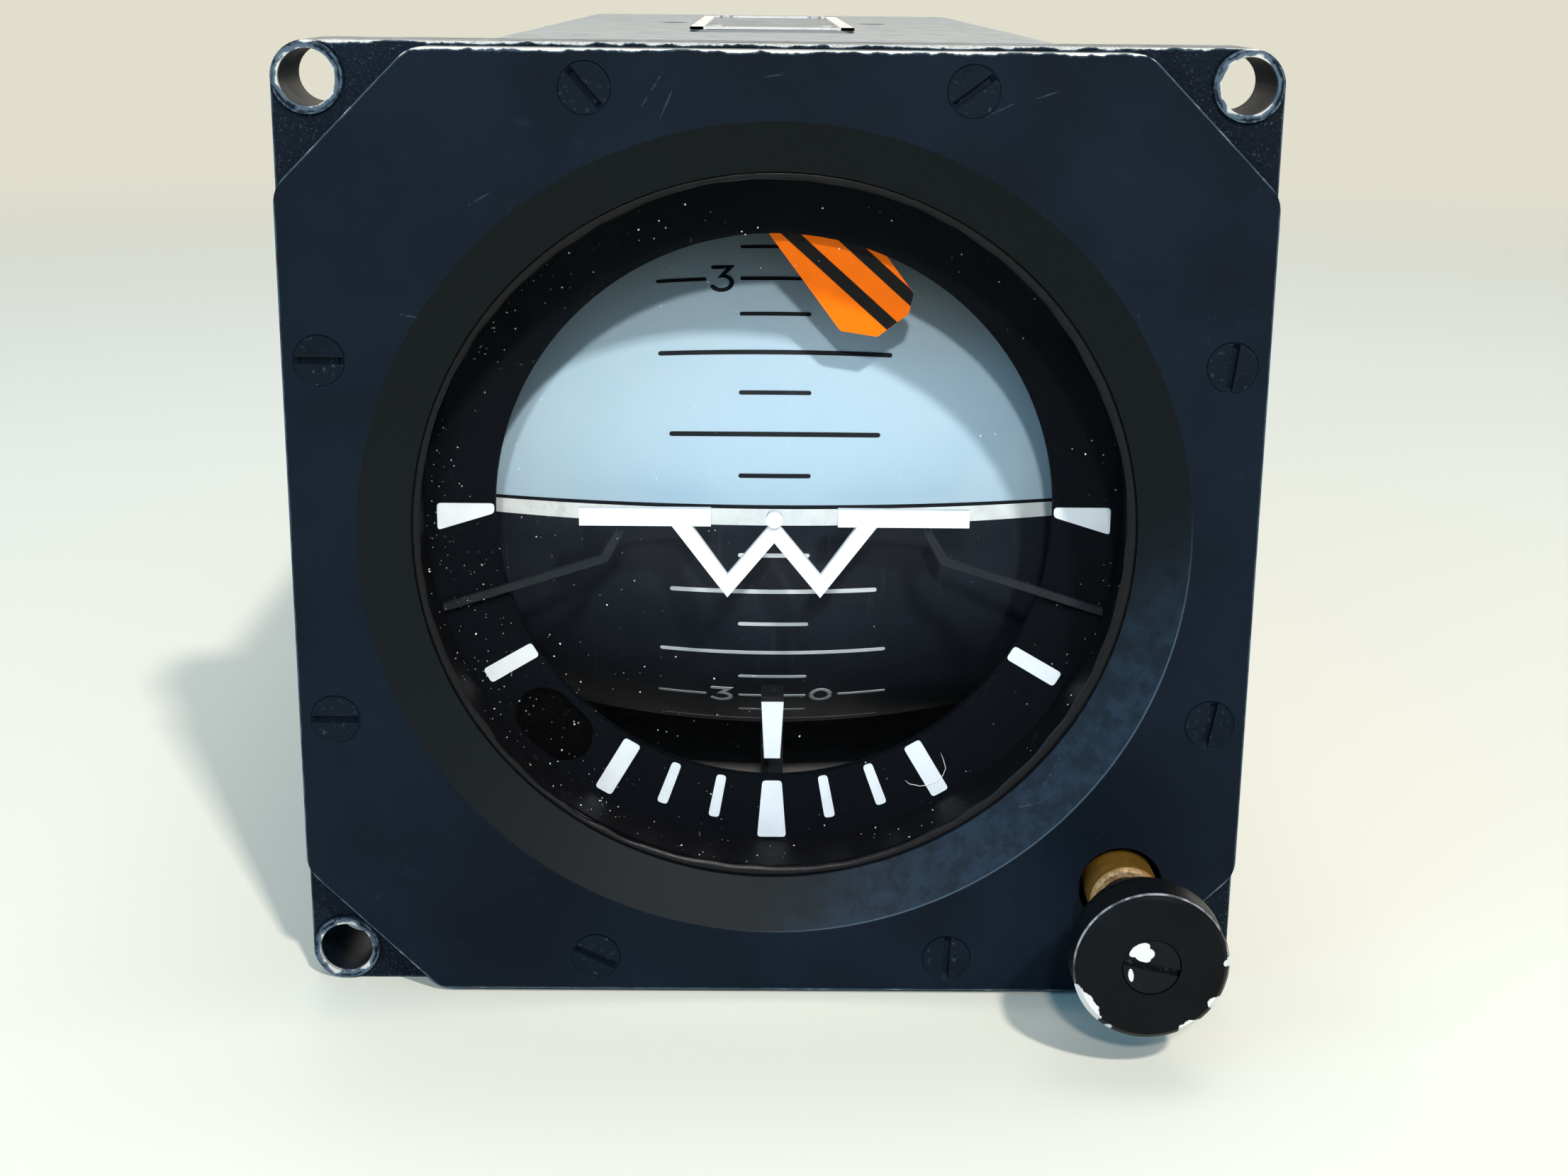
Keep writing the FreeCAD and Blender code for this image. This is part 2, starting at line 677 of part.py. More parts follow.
def front_plate():
    body = new_body("front_plate")
    slab(body, plate_front, plate_back, octagon(plate_half, plate_cut, plate_corner))
    slab_cut(body, plate_front, plate_back, circle(knob_x, knob_z, bush_hole_radius))
    revolve(body, "Groove", along_y([
        (0, plate_front), (bevel_outer, plate_front), (bevel_inner, plate_front + bevel_depth),
        (bevel_inner, plate_back), (0, plate_back)]))
    doc.recompute()
    sketch = new_sketch(body, "XY_Plane", -plate_front)
    for x, z in plate_screw_places():
        circle(x, z, plate_screw_shank)(sketch)
    doc.recompute()
    hole = body.newObject("PartDesign::Hole", "screw_holes")
    hole.Profile = sketch
    hole.DepthType = 1
    bind(hole, "Diameter", (plate_screw_shank + fit_gap) * 2)
    hole.HoleCutType = 2
    hole.HoleCutCountersinkAngle = 90
    bind(hole, "HoleCutDiameter", (plate_screw_head + fit_gap) * 2)
    return body


def front_plate_screws():
    height = plate_screw_head - plate_screw_shank
    master = screw(plate_screw_head, height, plate_screw_shank, plate_screw_length, True)
    slot_angles = (-25, -49, 88, 37, 0, 0, 80, 83)
    placements = []
    for (x, z), angle in zip(plate_screw_places(), slot_angles):
        spot = Vector(x.value, plate_front.value, z.value)
        placements.append(Placement(spot, FRONT.multiply(Rotation(Vector(0, 0, 1), angle))))
    return group("front_plate_screws", master, placements)


def mounting_flange():
    body = new_body("mounting_flange")
    slab(body, -flange_thick, 0,
         rectangle(-flange_half, flange_half, -flange_half, flange_half, corner_radius))
    slab(body, plate_back - boss_height, 0,
         *[circle(x, z, boss_radius) for x, z in corners(panel_hole_half)])
    spigot = octagon(case_inner - fit_gap, case_inner_cut - fit_gap)
    slab(body, 0, spigot_depth, spigot)
    slab_cut(body, -land_height, 0,
             octagon(flange_half + land_gap, case_cut + land_gap), octagon(case_half, case_cut))
    slab_cut(body, plate_back, glass_back, circle(0, 0, glass_radius + fit_gap))
    slab_cut(body, glass_back, mask_front, circle(0, 0, tube_radius))
    slab_cut(body, mask_front, spigot_depth, circle(0, 0, spigot_bore))
    slab_cut(body, plate_back - boss_height, 0,
             *[circle(x, z, panel_hole_radius) for x, z in corners(panel_hole_half)])
    slab_cut(body, plate_back, plate_front + plate_screw_length + fit_gap,
             *[circle(x, z, plate_screw_shank) for x, z in plate_screw_places()])
    slab_cut(body, plate_back, pocket_floor, circle(knob_x, knob_z, bush_radius))
    slab_cut(body, pocket_floor, spigot_depth,
             obround(knob_x, knob_z, rod_x, rod_z, pocket_radius))
    slab_cut(body, mask_front - mask_screw_length + mask_thick, mask_front,
             *[circle(*polar(mask_screw_round, turn), mask_screw_shank)
               for turn in (45, 135, 225, 315)])
    radial_holes(body, case_screw_shank, flange_screw_station)
    return body


def radial_holes(body, radius, *stations):
    """Pairs of holes through the four flats of an octagonal part."""
    for role in ("XZ_Plane", "YZ_Plane"):
        sketch = new_sketch(body, role)
        for station in stations:
            for side in (-1, 1):
                circle(case_screw_offset * side, -station, radius)(sketch)
        pocket = body.newObject("PartDesign::Pocket", body.Label + "_holes")
        pocket.Profile = sketch
        pocket.Type = 1
        pocket.Midplane = True


def glass_seal():
    body = new_body("glass_seal")
    slab(body, plate_back, glass_front,
         circle(0, 0, glass_radius), circle(0, 0, seal_inner))
    return body


def cover_glass():
    body = new_body("cover_glass")
    slab(body, glass_front, glass_back, circle(0, 0, glass_radius))
    return body


# --- Dial ---------------------------------------------------------------------------------

def dial_mask():
    body = new_body("dial_mask")
    slab(body, mask_front, mask_back,
         circle(0, 0, mask_radius), circle(0, 0, aperture_radius))
    middle_x, middle_z = polar(mask_window_round, 225)
    reach_x, reach_z = polar((mask_window_length - mask_window_width) / 2, 135)
    slab_cut(body, mask_front, mask_back,
             obround(middle_x - reach_x, middle_z - reach_z,
                     middle_x + reach_x, middle_z + reach_z, mask_window_width / 2))
    slab_cut(body, mask_front, mask_back,
             *[circle(*polar(mask_screw_round, turn), mask_screw_shank)
               for turn in (45, 135, 225, 315)],
             circle(flag_pivot_x, flag_pivot_z, flag_pin_radius))
    return body


def mask_screws():
    master = screw(mask_screw_head, mask_screw_height, mask_screw_shank,
                   mask_screw_length + mask_screw_height - mask_thick)
    placements = []
    for turn in (45, 135, 225, 315):
        x, z = polar(mask_screw_round, turn)
        spot = Vector(x.value, mask_back.value + mask_screw_height.value, z.value)
        placements.append(Placement(spot, Rotation(Vector(1, 0, 0), -90)))
    return group("mask_screws", master, placements)


def aircraft_symbol():
    body = new_body("aircraft_symbol")
    slab(body, symbol_front, symbol_rear,
         rectangle(wing_inner, wing_outer, -wing_half, wing_half),
         rectangle(-wing_outer, -wing_inner, -wing_half, wing_half))
    half_top = symbol_stroke * SYMBOL_SLANT
    outer, inner = symbol_join_x + half_top, symbol_join_x - half_top
    low_inner = symbol_stroke - symbol_drop
    slab(body, symbol_front, symbol_rear, polygon(
        (outer, -wing_half / 2), (symbol_low_x, -symbol_drop),
        (0, -symbol_stroke - symbol_peak_drop),
        (-symbol_low_x, -symbol_drop), (-outer, -wing_half / 2), (-inner, -wing_half / 2),
        (-symbol_low_x, low_inner), (0, -symbol_peak_drop), (symbol_low_x, low_inner),
        (inner, -wing_half / 2)))
    slab(body, symbol_front - symbol_dot / 2, symbol_rear, circle(0, -symbol_dot_drop, symbol_dot))
    return body


def symbol_wires():
    body = new_body("symbol_wires")
    half = wire_width / 2
    for side in (-1, 1):
        slab(body, symbol_rear, symbol_rear + wire_width - fit_gap, polygon(
            ((wire_start_x - half) * side, wire_start_z),
            ((wire_start_x + half) * side, wire_start_z),
            ((wire_bend_x + half) * side, wire_bend_z + half),
            (wire_end_x * side, wire_end_z + half),
            (wire_end_x * side, wire_end_z - half),
            ((wire_bend_x - half) * side, wire_bend_z - half / 2)))
    return body


# --- Case ---------------------------------------------------------------------------------

def case_tube():
    body = new_body("case_tube")
    slab(body, 0, case_length, octagon(case_half, case_cut),
         octagon(case_inner, case_inner_cut))
    radial_holes(body, case_screw_head + fit_gap, flange_screw_station, housing_screw_station)
    return body


def case_screws():
    master = screw(case_screw_head, case_wall, case_screw_shank, case_screw_length)
    placements = []
    for turn in range(0, 360, 90):
        about_y = Rotation(Vector(0, 1, 0), turn)
        for station in (flange_screw_station, housing_screw_station):
            for side in (-1, 1):
                spot = Vector(case_screw_offset.value * side, station.value,
                              case_half.value - fit_gap.value)
                placements.append(Placement(about_y.multVec(spot), about_y))
    return group("case_screws", master, placements)


def rear_cover():
    body = new_body("rear_cover")
    slab(body, cover_front, cover_back, octagon(case_half, case_cut, cover_corner))
    fit_half, fit_cut = case_inner - fit_gap, case_inner_cut - fit_gap
    slab(body, cover_front - cover_spigot_depth, cover_front, octagon(fit_half, fit_cut),
         octagon(fit_half - cover_spigot_wall, fit_cut - cover_spigot_wall))
    hole_spots = [(x, z - connector_drop) for x, z in corners(connector_hole_half)]
    slab_cut(body, cover_front, cover_back,
             *[circle(x, z, cover_screw_shank + fit_gap) for x, z in corners(tie_rod_place)],
             circle(0, -connector_drop, connector_shell_radius - connector_shell_wall),
             *[circle(x, z, cover_screw_shank) for x, z in hole_spots])
    return body


def rear_cover_screws():
    master = screw(cover_screw_head, cover_screw_height, cover_screw_shank, cover_screw_length)
    back = cover_back.value + cover_screw_height.value
    placements = [Placement(Vector(x.value, back, z.value), Rotation(Vector(1, 0, 0), -90))
                  for x, z in corners(tie_rod_place)]
    return group("rear_cover_screws", master, placements)


def connector_shell():
    body = new_body("connector_shell", FRONT, 0, 0, -connector_drop)
    flange_back = cover_back + connector_flange_thick
    inner = connector_shell_radius - connector_shell_wall
    slab(body, cover_back, flange_back, rectangle(
        -connector_flange, connector_flange, -connector_flange, connector_flange,
        connector_corner))
    slab(body, flange_back, cover_back + connector_length,
         circle(0, 0, connector_shell_radius))
    slab_cut(body, cover_back, cover_back + connector_length, circle(0, 0, inner))
    slab_cut(body, cover_back, flange_back,
             *[circle(x, z, cover_screw_shank + fit_gap) for x, z in corners(connector_hole_half)])
    return body


def connector_insert():
    body = new_body("connector_insert", FRONT, 0, 0, -connector_drop)
    radius = connector_shell_radius - connector_shell_wall
    slab(body, cover_front - connector_tail / 2, cover_back + connector_length / 2,
         circle(0, 0, radius))
    slab_cut(body, cover_front - connector_tail / 2, cover_back + connector_length / 2,
             *[circle(*polar(pin_circle, turn), pin_radius) for turn in range(0, 360, 45)],
             circle(0, 0, pin_radius))
    return body


def connector_pins():
    body = new_body("connector_pins", FRONT, 0, 0, -connector_drop)
    front = cover_front - connector_tail
    slab(body, front, front + pin_length,
         *[circle(*polar(pin_circle, turn), pin_radius) for turn in range(0, 360, 45)],
         circle(0, 0, pin_radius))
    return body


def connector_screws():
    length = connector_flange_thick + cover_thick + cover_screw_height
    master = screw(connector_screw_head, cover_screw_height, cover_screw_shank, length)
    back = (cover_back + connector_flange_thick + cover_screw_height).value
    placements = [Placement(Vector(x.value, back, z.value - connector_drop.value),
                            Rotation(Vector(1, 0, 0), -90))
                  for x, z in corners(connector_hole_half)]
    return group("connector_screws", master, placements)


# --- Rear bay -----------------------------------------------------------------------------

def bearing_housing():
    body = new_body("bearing_housing")
    slab(body, housing_front, housing_back,
         octagon(case_inner - fit_gap, case_inner_cut - fit_gap))
    slab(body, housing_back, hub_end, circle(0, 0, hub_radius))
    slab_cut(body, housing_front, hub_end, circle(0, 0, bearing_outer - bearing_step))
    slab_cut(body, hub_end - bearing_width, hub_end, circle(0, 0, bearing_outer))
    slab_cut(body, housing_front, housing_front + bearing_width, circle(0, 0, bearing_outer))
    slab_cut(body, housing_front, housing_back, circle(rod_x, rod_z, rod_radius + run_gap),
             *[circle(x, z, cover_screw_shank) for x, z in corners(tie_rod_place)])
    radial_holes(body, case_screw_shank, housing_screw_station)
    return body


def roll_bearings():
    """Two flanged ball races, drawn as rings, pressed in the housing's two ends."""
    body = new_body("roll_bearings")
    bore = shaft_radius + run_gap
    revolve(body, "Revolution",
            along_y(bushing(bore, bearing_outer, housing_front, housing_front + bearing_width)),
            along_y(bushing(bore, bearing_outer, hub_end - bearing_width, hub_end)))
    return body


def tie_rods():
    body = new_body("tie_rods")
    slab(body, housing_back, cover_front,
         *[circle(x, z, tie_rod_radius) for x, z in corners(tie_rod_place)])
    cover_thread = cover_screw_length - cover_screw_height - cover_thick
    slab_cut(body, cover_front - cover_thread, cover_front,
             *[circle(x, z, cover_screw_shank) for x, z in corners(tie_rod_place)])
    return body


def circuit_boards():
    body = new_body("circuit_boards")
    for front in (board_front, back_board_front):
        slab(body, front, front + board_thick, octagon(board_half, board_cut),
             *[circle(x, z, tie_rod_radius) for x, z in corners(tie_rod_place)])
    return body


def transformer():
    body = new_body("transformer")
    front = board_front + board_thick
    half = transformer_width / 2
    slab(body, front, front + transformer_depth,
         rectangle(-half, half, -transformer_height / 2, transformer_height / 2,
                   connector_corner / 2))
    winding_top = transformer_height / 2 + core_reach
    slab(body, front + core_step, front + transformer_depth - core_step,
         rectangle(core_inset - half, half - core_inset, -winding_top, winding_top,
                   connector_corner))
    return body


def capacitors():
    body = new_body("capacitors")
    front = board_front + board_thick
    spots = [(capacitor_offset * side, capacitor_radius * 1.3 * row)
             for side in (-1, 1) for row in (-1, 1)]
    slab(body, front, front + capacitor_depth,
         *[circle(x, z, capacitor_radius) for x, z in spots])
    return body


def brush_block():
    """Insulating block on the bearing hub with one wire brush for each slip ring."""
    body = new_body("brush_block")
    low = ring_barrel_radius + brush_reach
    half = brush_block_width / 2
    slab(body, hub_end, ring_barrel_front + ring_barrel_length,
         rectangle(-half, half, low, low + brush_block_depth))
    for index in range(slip_ring_count):
        middle = ring_station(index)
        slab(body, middle - brush_width / 2, middle + brush_width / 2, rectangle(
            -brush_width / 2, brush_width / 2, ring_barrel_radius + run_gap, low))
    return body


def ring_station(index):
    return ring_barrel_front + ring_barrel_length * ((index + 0.5) / slip_ring_count)


def torquer_stator():
    body = new_body("roll_torquer_stator")
    slab(body, housing_front - torquer_stator_thick, housing_front,
         circle(0, 0, torquer_outer), circle(0, 0, torquer_inner))
    return body


# --- Warning flag -------------------------------------------------------------------------

def flag_blade():
    body = new_body("flag_blade", FRONT, flag_pivot_x, 0, flag_pivot_z)
    turn = Rotation(Vector(0, 0, 1), -math.degrees(math.atan2(4, 3)))
    body.Placement = Placement(body.Placement.Base, FRONT.multiply(turn))
    slab(body, flag_front, flag_front + flag_thick, polygon(
        (0, flag_hub * -1), (flag_neck, -flag_half), (flag_length - flag_nose, -flag_half, 0.4),
        (flag_length, -flag_half * 0.35, 0.4), (flag_length, flag_half * 0.6, 0.4),
        (flag_length - flag_nose / 2, flag_half, 0.4), (flag_neck, flag_half),
        (0, flag_hub)))
    slab(body, flag_front, flag_front + flag_thick, circle(0, 0, flag_hub))
    slab_cut(body, flag_front, flag_front + flag_thick,
             circle(0, 0, flag_pin_radius + run_gap))
    return body


def flag_pivot():
    body = new_body("flag_pivot", FRONT, flag_pivot_x, 0, flag_pivot_z)
    slab(body, mask_front, flag_pin_end, circle(0, 0, flag_pin_radius))
    slab(body, flag_front + flag_thick + run_gap * 2, flag_pin_end,
         circle(0, 0, flag_pin_radius * 2))
    return body


def flag_coil():
    body = new_body("flag_coil")
    half_x, half_z = coil_length / 2, coil_width / 2
    slab(body, mask_back, mask_back + coil_depth, rectangle(
        coil_x - half_x, coil_x + half_x, coil_z - half_z, coil_z + half_z, 1))
    return body


# --- Pull knob ----------------------------------------------------------------------------

def knob_bush():
    body = new_body("knob_bush", FRONT, knob_x, 0, knob_z)
    bore = knob_shaft_radius + run_gap
    revolve(body, "Revolution", along_y([
        (bore, pocket_floor), (bush_radius, pocket_floor), (bush_radius, bush_front + bush_lip),
        (bush_radius - bush_lip, bush_front), (bore + bush_lip, bush_front),
        (bore, bush_front + bush_lip)]))
    return body


def pull_knob():
    body = new_body("pull_knob", FRONT, knob_x, 0, knob_z)
    rim_back = knob_front + knob_rim
    recess = knob_front + knob_screw_height + fit_gap
    taper = knob_back - rim_back
    revolve(body, "Revolution", along_y([
        (knob_screw_head + fit_gap, knob_front), (knob_radius - knob_edge, knob_front),
        (knob_radius, knob_front + knob_edge), (knob_radius, rim_back),
        (knob_radius * 0.94, rim_back + taper * 0.16), (knob_radius * 0.78, rim_back + taper * 0.42),
        (knob_radius * 0.55, rim_back + taper * 0.72), (knob_neck, knob_back - 1),
        (knob_neck, knob_back), (knob_shaft_radius, knob_back),
        (knob_shaft_radius, recess + knob_screw_length / 2),
        (knob_screw_shank, recess + knob_screw_length / 2),
        (knob_screw_shank, recess), (knob_screw_head + fit_gap, recess)]))
    return body


def knob_screw():
    master = screw(knob_screw_head, knob_screw_height, knob_screw_shank, knob_screw_length)
    front = knob_front.value + fit_gap.value
    turn = FRONT.multiply(Rotation(Vector(0, 0, 1), -13))
    return group("knob_screw", master,
                 [Placement(Vector(knob_x.value, front, knob_z.value), turn)])


def knob_shaft():
    body = new_body("knob_shaft", FRONT, knob_x, 0, knob_z)
    seat = knob_front + knob_screw_height + fit_gap + knob_screw_length / 2
    slab(body, seat, arm_back - arm_thick, circle(0, 0, knob_shaft_radius))
    slab_cut(body, seat, knob_front + fit_gap + knob_screw_length,
             circle(0, 0, knob_screw_shank))
    return body


def cage_arm():
    body = new_body("pull_arm")
    slab(body, arm_back - arm_thick, arm_back, obround(knob_x, knob_z, rod_x, rod_z, arm_radius))
    return body


def pull_rod():
    body = new_body("pull_rod", FRONT, rod_x, 0, rod_z)
    spring_end = spring_length
    cam_back = cam_front + pull_travel
    revolve(body, "Revolution", along_y([
        (0, arm_back), (rod_radius, arm_back), (rod_radius, spring_end),
        (collar_radius, spring_end), (collar_radius, spring_end + collar_thick),
        (rod_radius, spring_end + collar_thick), (rod_radius, cam_front),
        (rod_radius + cam_rise, cam_back), (rod_radius + cam_rise, cam_back + collar_thick),
        (rod_radius, cam_back + collar_thick), (rod_radius, rod_end), (0, rod_end)]))
    return body


def pocket_cover():
    body = new_body("pocket_cover")
    slab(body, -pocket_cover_thick, 0,
         obround(knob_x, knob_z, rod_x, rod_z, pocket_radius),
         circle(rod_x, rod_z, rod_radius + run_gap))
    return body


def return_spring():
    """Open coil of square wire between the pocket cover and the rod's first collar."""
    wire = spring_wire.value
    height = spring_length.value - wire
    helix = Part.makeHelix(height / spring_turns.value, height, spring_radius.value)
    side = wire / 2
    square = [Vector(spring_radius.value + dx * side, 0, dz * side)
              for dx, dz in ((-1, -1), (1, -1), (1, 1), (-1, 1), (-1, -1))]
    coil = Part.Wire(helix.Edges).makePipeShell([Part.makePolygon(square)], True, True)
    node = doc.addObject("Part::Feature", "return_spring")
    node.Label = "return_spring"
    node.Shape = Part.Solid(coil.Shells[0]) if not coil.Solids else coil
    node.Placement = Placement(Vector(rod_x.value, side, rod_z.value),
                               Rotation(Vector(1, 0, 0), -90))
    return node


ROD_SIDE = Rotation(Vector(0, 1, 0), -45)  # own x along the chamfer, own z towards the axis


def fast_erect_switch():
    """Small sealed switch on a foot inside the case's lower right flat."""
    body = new_body("fast_erect_switch", ROD_SIDE)
    low = rod_height - switch_offset
    front = plunger_station - switch_length / 2
    back = plunger_station + switch_length / 2
    prism(body, low, low + switch_height, rectangle(
        switch_gap, switch_gap + switch_width, front, back, switch_corner))
    prism(body, -case_inner_cut, low, rectangle(
        switch_gap, switch_gap + switch_foot_width, front, back, switch_corner))
    across(body, "Pocket", switch_gap, switch_gap + plunger_length,
           circle(plunger_station, rod_height, plunger_radius + run_gap))
    return body


def switch_plunger():
    body = new_body("switch_plunger", ROD_SIDE)
    tip = rod_radius + run_gap * 2
    across(body, "Pad", tip, tip + plunger_length,
           circle(plunger_station, rod_height, plunger_radius))
    return body


# --- Roll gimbal --------------------------------------------------------------------------

def roll_gimbal_frame():
    body = new_body("roll_gimbal_frame")
    slab(body, ring_front, ring_back, circle(0, 0, ring_outer), circle(0, 0, ring_inner))
    slab(body, rear_plate_front, rear_plate_back, circle(0, 0, ring_outer),
         circle(0, 0, shaft_radius))
    waist, broad = arm_waist, arm_half
    window_front = front_idler_y + arm_window_inset
    window_back = rear_idler_y - arm_window_inset
    window_low, window_high = small_bearing_radius, arm_half - arm_rail
    for low in (-arm_outer, arm_inner):
        high = low + gimbal_arm_thick
        across(body, "Pad", low, high, polygon(
            (-waist, -ring_front), (-broad, -drum_y), (-broad, -gyro_y),
            (-waist, -rear_plate_back), (waist, -rear_plate_back), (broad, -gyro_y),
            (broad, -drum_y), (waist, -ring_front)))
        across(body, "Pocket", low, high,
               circle(0, -drum_y, small_bearing_radius),
               circle(0, -gyro_y, small_bearing_radius),
               rectangle(window_low, window_high, -window_back, -window_front,
                         arm_window_corner),
               rectangle(-window_high, -window_low, -window_back, -window_front,
                         arm_window_corner))
    return body


def bank_pointer():
    body = new_body("bank_pointer")
    fold = pointer_top - pointer_sheet
    foot_back = ring_back + pointer_sheet
    slab(body, pointer_front, pointer_front + pointer_sheet, polygon(
        (-pointer_wide, fold), (-pointer_narrow, pointer_tip),
        (pointer_narrow, pointer_tip), (pointer_wide, fold)))
    slab(body, pointer_front, foot_back,
         rectangle(-pointer_wide, pointer_wide, fold, pointer_top))
    slab(body, ring_back, foot_back,
         rectangle(-pointer_wide, pointer_wide, pointer_foot, fold))
    return body


def roll_shaft():
    body = new_body("roll_shaft")
    revolve(body, "Revolution", along_y(
        bushing(shaft_bore, shaft_radius, rear_plate_front, shaft_end)))
    return body


def slip_rings():
    body = new_body("slip_rings")
    back = ring_barrel_front + ring_barrel_length
    low = ring_barrel_radius - slip_ring_depth
    outline = [(shaft_radius, ring_barrel_front), (low, ring_barrel_front)]
    for index in range(slip_ring_count):
        middle = ring_station(index)
        first, last = middle - slip_ring_width / 2, middle + slip_ring_width / 2
        outline += [(low, first), (ring_barrel_radius, first), (ring_barrel_radius, last),
                    (low, last)]
    outline += [(low, back), (shaft_radius, back)]
    revolve(body, "Revolution", along_y(outline))
    return body


def torquer_rotor():
    body = new_body("roll_torquer_rotor")
    slab(body, rear_plate_back, rear_plate_back + torquer_rotor_thick,
         circle(0, 0, torquer_outer), circle(0, 0, torquer_inner))
    return body


def side_bearings(label, station, bore):
    """One race in each gimbal arm, on an axis along X."""
    body = new_body(label, SIDE, 0, station, 0)
    revolve(body, "Revolution",
            bushing(bore + run_gap, small_bearing_radius, arm_inner, arm_outer),
            bushing(bore + run_gap, small_bearing_radius, -arm_outer, -arm_inner))
    return body


def idler_pins():
    body = new_body("idler_pins", SIDE)
    prism(body, gear_left - fit_gap, arm_inner, circle(front_idler_y, 0, gear_bore),
          circle(rear_idler_y, 0, gear_bore))
    prism(body, gear_left - fit_gap - pin_head_thick, gear_left - fit_gap,
          circle(front_idler_y, 0, pin_head_radius), circle(rear_idler_y, 0, pin_head_radius))
    prism(body, gear_right + fit_gap, arm_inner,
          circle(front_idler_y, 0, pin_shoulder_radius),
          circle(rear_idler_y, 0, pin_shoulder_radius))
    return body


# --- Gears --------------------------------------------------------------------------------

def involute(angle):
    return math.tan(angle) - angle


def tooth_gap(teeth, backlash=0.14):
    """The gap between two teeth, in modules, centred on the gear's own x axis."""
    pressure = math.radians(20)
    base = teeth / 2 * math.cos(pressure)
    root, tip = teeth / 2 - 1.25, teeth / 2 + 1.0
    flank = []
    for step in range(4):
        radius = max(root, base) + (tip - max(root, base)) * step / 3
        at_radius = math.acos(min(1.0, base / radius))
        tooth = (math.pi / 2 - backlash) / teeth + involute(pressure) - involute(at_radius)
        half = math.pi / teeth - tooth
        flank.append((radius * math.cos(half), radius * math.sin(half)))
    foot = (root * math.cos(half * 0.3), flank[0][1] * 0.8)
    over = (tip + 0.5, flank[-1][1] + 0.2)
    upper = [foot] + flank + [over]
    return upper + [(x, -y) for x, y in reversed(upper)]


def gear(label, teeth, station, half_step, bore):
    """A spur gear in the train's plane; half_step turns it by half a tooth."""
    body = new_body(label, SIDE, 0, station, 0)
    prism(body, gear_left, gear_right, circle(0, 0, gear_module * (teeth / 2 + 1)),
          circle(0, 0, bore))
    turn = math.pi / teeth if not half_step else 0
    outline = []
    for x, y in tooth_gap(teeth):
        outline.append((gear_module * (x * math.cos(turn) - y * math.sin(turn)),
                        gear_module * (x * math.sin(turn) + y * math.cos(turn))))
    gap = cut(body, gear_left, gear_right, polygon(*outline))
    pattern = body.newObject("PartDesign::PolarPattern", label + "_teeth")
    pattern.Originals = [gap]
    pattern.Axis = (gap.Profile[0], ["N_Axis"])
    pattern.Angle = 360
    pattern.Occurrences = teeth
    body.Tip = pattern
    return body


# --- Pitch drum ---------------------------------------------------------------------------

def drum_profile(radius, half):
    """Points of the barrel's side from one end to the other."""
    return radius.value - (drum_barrel.value - math.sqrt(drum_barrel.value ** 2 - half ** 2))


def drum_shell(label, upper):
    """Half of the barrel-shaped drum, above or below the horizon line."""
    radius, wall = drum_radius.value, drum_wall.value
    half = drum_half.value
    end = drum_profile(drum_radius, half)
    outer = Part.Arc(Vector(-half, end, 0), Vector(0, radius, 0), Vector(half, end, 0))
    inner = Part.Arc(Vector(half, end - wall, 0), Vector(0, radius - wall, 0),
                     Vector(-half, end - wall, 0))
    edges = [outer.toShape(), Part.makeLine(Vector(half, end, 0), Vector(half, end - wall, 0)),
             inner.toShape(), Part.makeLine(Vector(-half, end - wall, 0), Vector(-half, end, 0))]
    face = Part.Face(Part.Wire(edges))
    shell = face.revolve(Vector(0, 0, 0), Vector(1, 0, 0), 180)
    node = doc.addObject("Part::Feature", label)
    node.Label = label
    node.Shape = shell
    node.Placement = Placement(Vector(0, drum_y.value, 0),
                               Rotation(Vector(1, 0, 0), 0 if upper else 180))
    return node


def drum_end_caps():
    body = new_body("drum_end_caps", SIDE, 0, drum_y, 0)
    inside = drum_half - drum_cap_thick
    sag = drum_barrel.value - math.sqrt(drum_barrel.value ** 2 - drum_half.value ** 2)
    reach = drum_radius - sag - drum_wall - fit_gap / 2
    loops = []
    for side in (-1, 1):
        loops.append([(axle_radius, drum_half * side), (reach, drum_half * side),
                      (reach, inside * side), (drum_hub_radius, inside * side),
                      (drum_hub_radius, (inside - drum_hub_length) * side),
                      (axle_radius, (inside - drum_hub_length) * side)])
    revolve(body, "Revolution", *loops)
    return body


def drum_axle():
    body = new_body("drum_axle", SIDE, 0, drum_y, 0)
    prism(body, -axle_half, axle_half, circle(0, 0, axle_radius))
    return body


# --- Gyro ---------------------------------------------------------------------------------

def gyro_housing():
    body = new_body("gyro_housing", UPRIGHT, 0, gyro_y, 0)
    inner = gyro_radius - gyro_wall
    prism(body, -gyro_half, gyro_half, circle(0, 0, gyro_radius), circle(0, 0, inner))
    wall_middle = gyro_radius - gyro_wall / 2
    reach = gear_left - run_gap * 2
    for low, high in ((-reach, -wall_middle), (wall_middle, reach)):
        across(body, "Pad", low, high, circle(0, 0, trunnion_collar))
    return body


def gyro_covers():
    body = new_body("gyro_covers", UPRIGHT, 0, gyro_y, 0)
    for side in (-1, 1):
        face, out = gyro_half * side, (gyro_half + gyro_cover_thick) * side
        seat = (gyro_half - rotor_bearing_height) * side
        revolve(body, "Revolution", [
            (0, out), (gyro_radius, out), (gyro_radius, face),
            (rotor_bearing_radius + seat_wall, face), (rotor_bearing_radius + seat_wall, seat),
            (rotor_bearing_radius, seat), (rotor_bearing_radius, face), (0, face)])
    return body


def trunnions():
    body = new_body("trunnions", SIDE, 0, gyro_y, 0)
    start = gear_left - run_gap * 2
    for side in (-1, 1):
        low = start if side > 0 else -axle_half
        high = axle_half if side > 0 else -start
        prism(body, low, high, circle(0, 0, trunnion_radius))
    return body


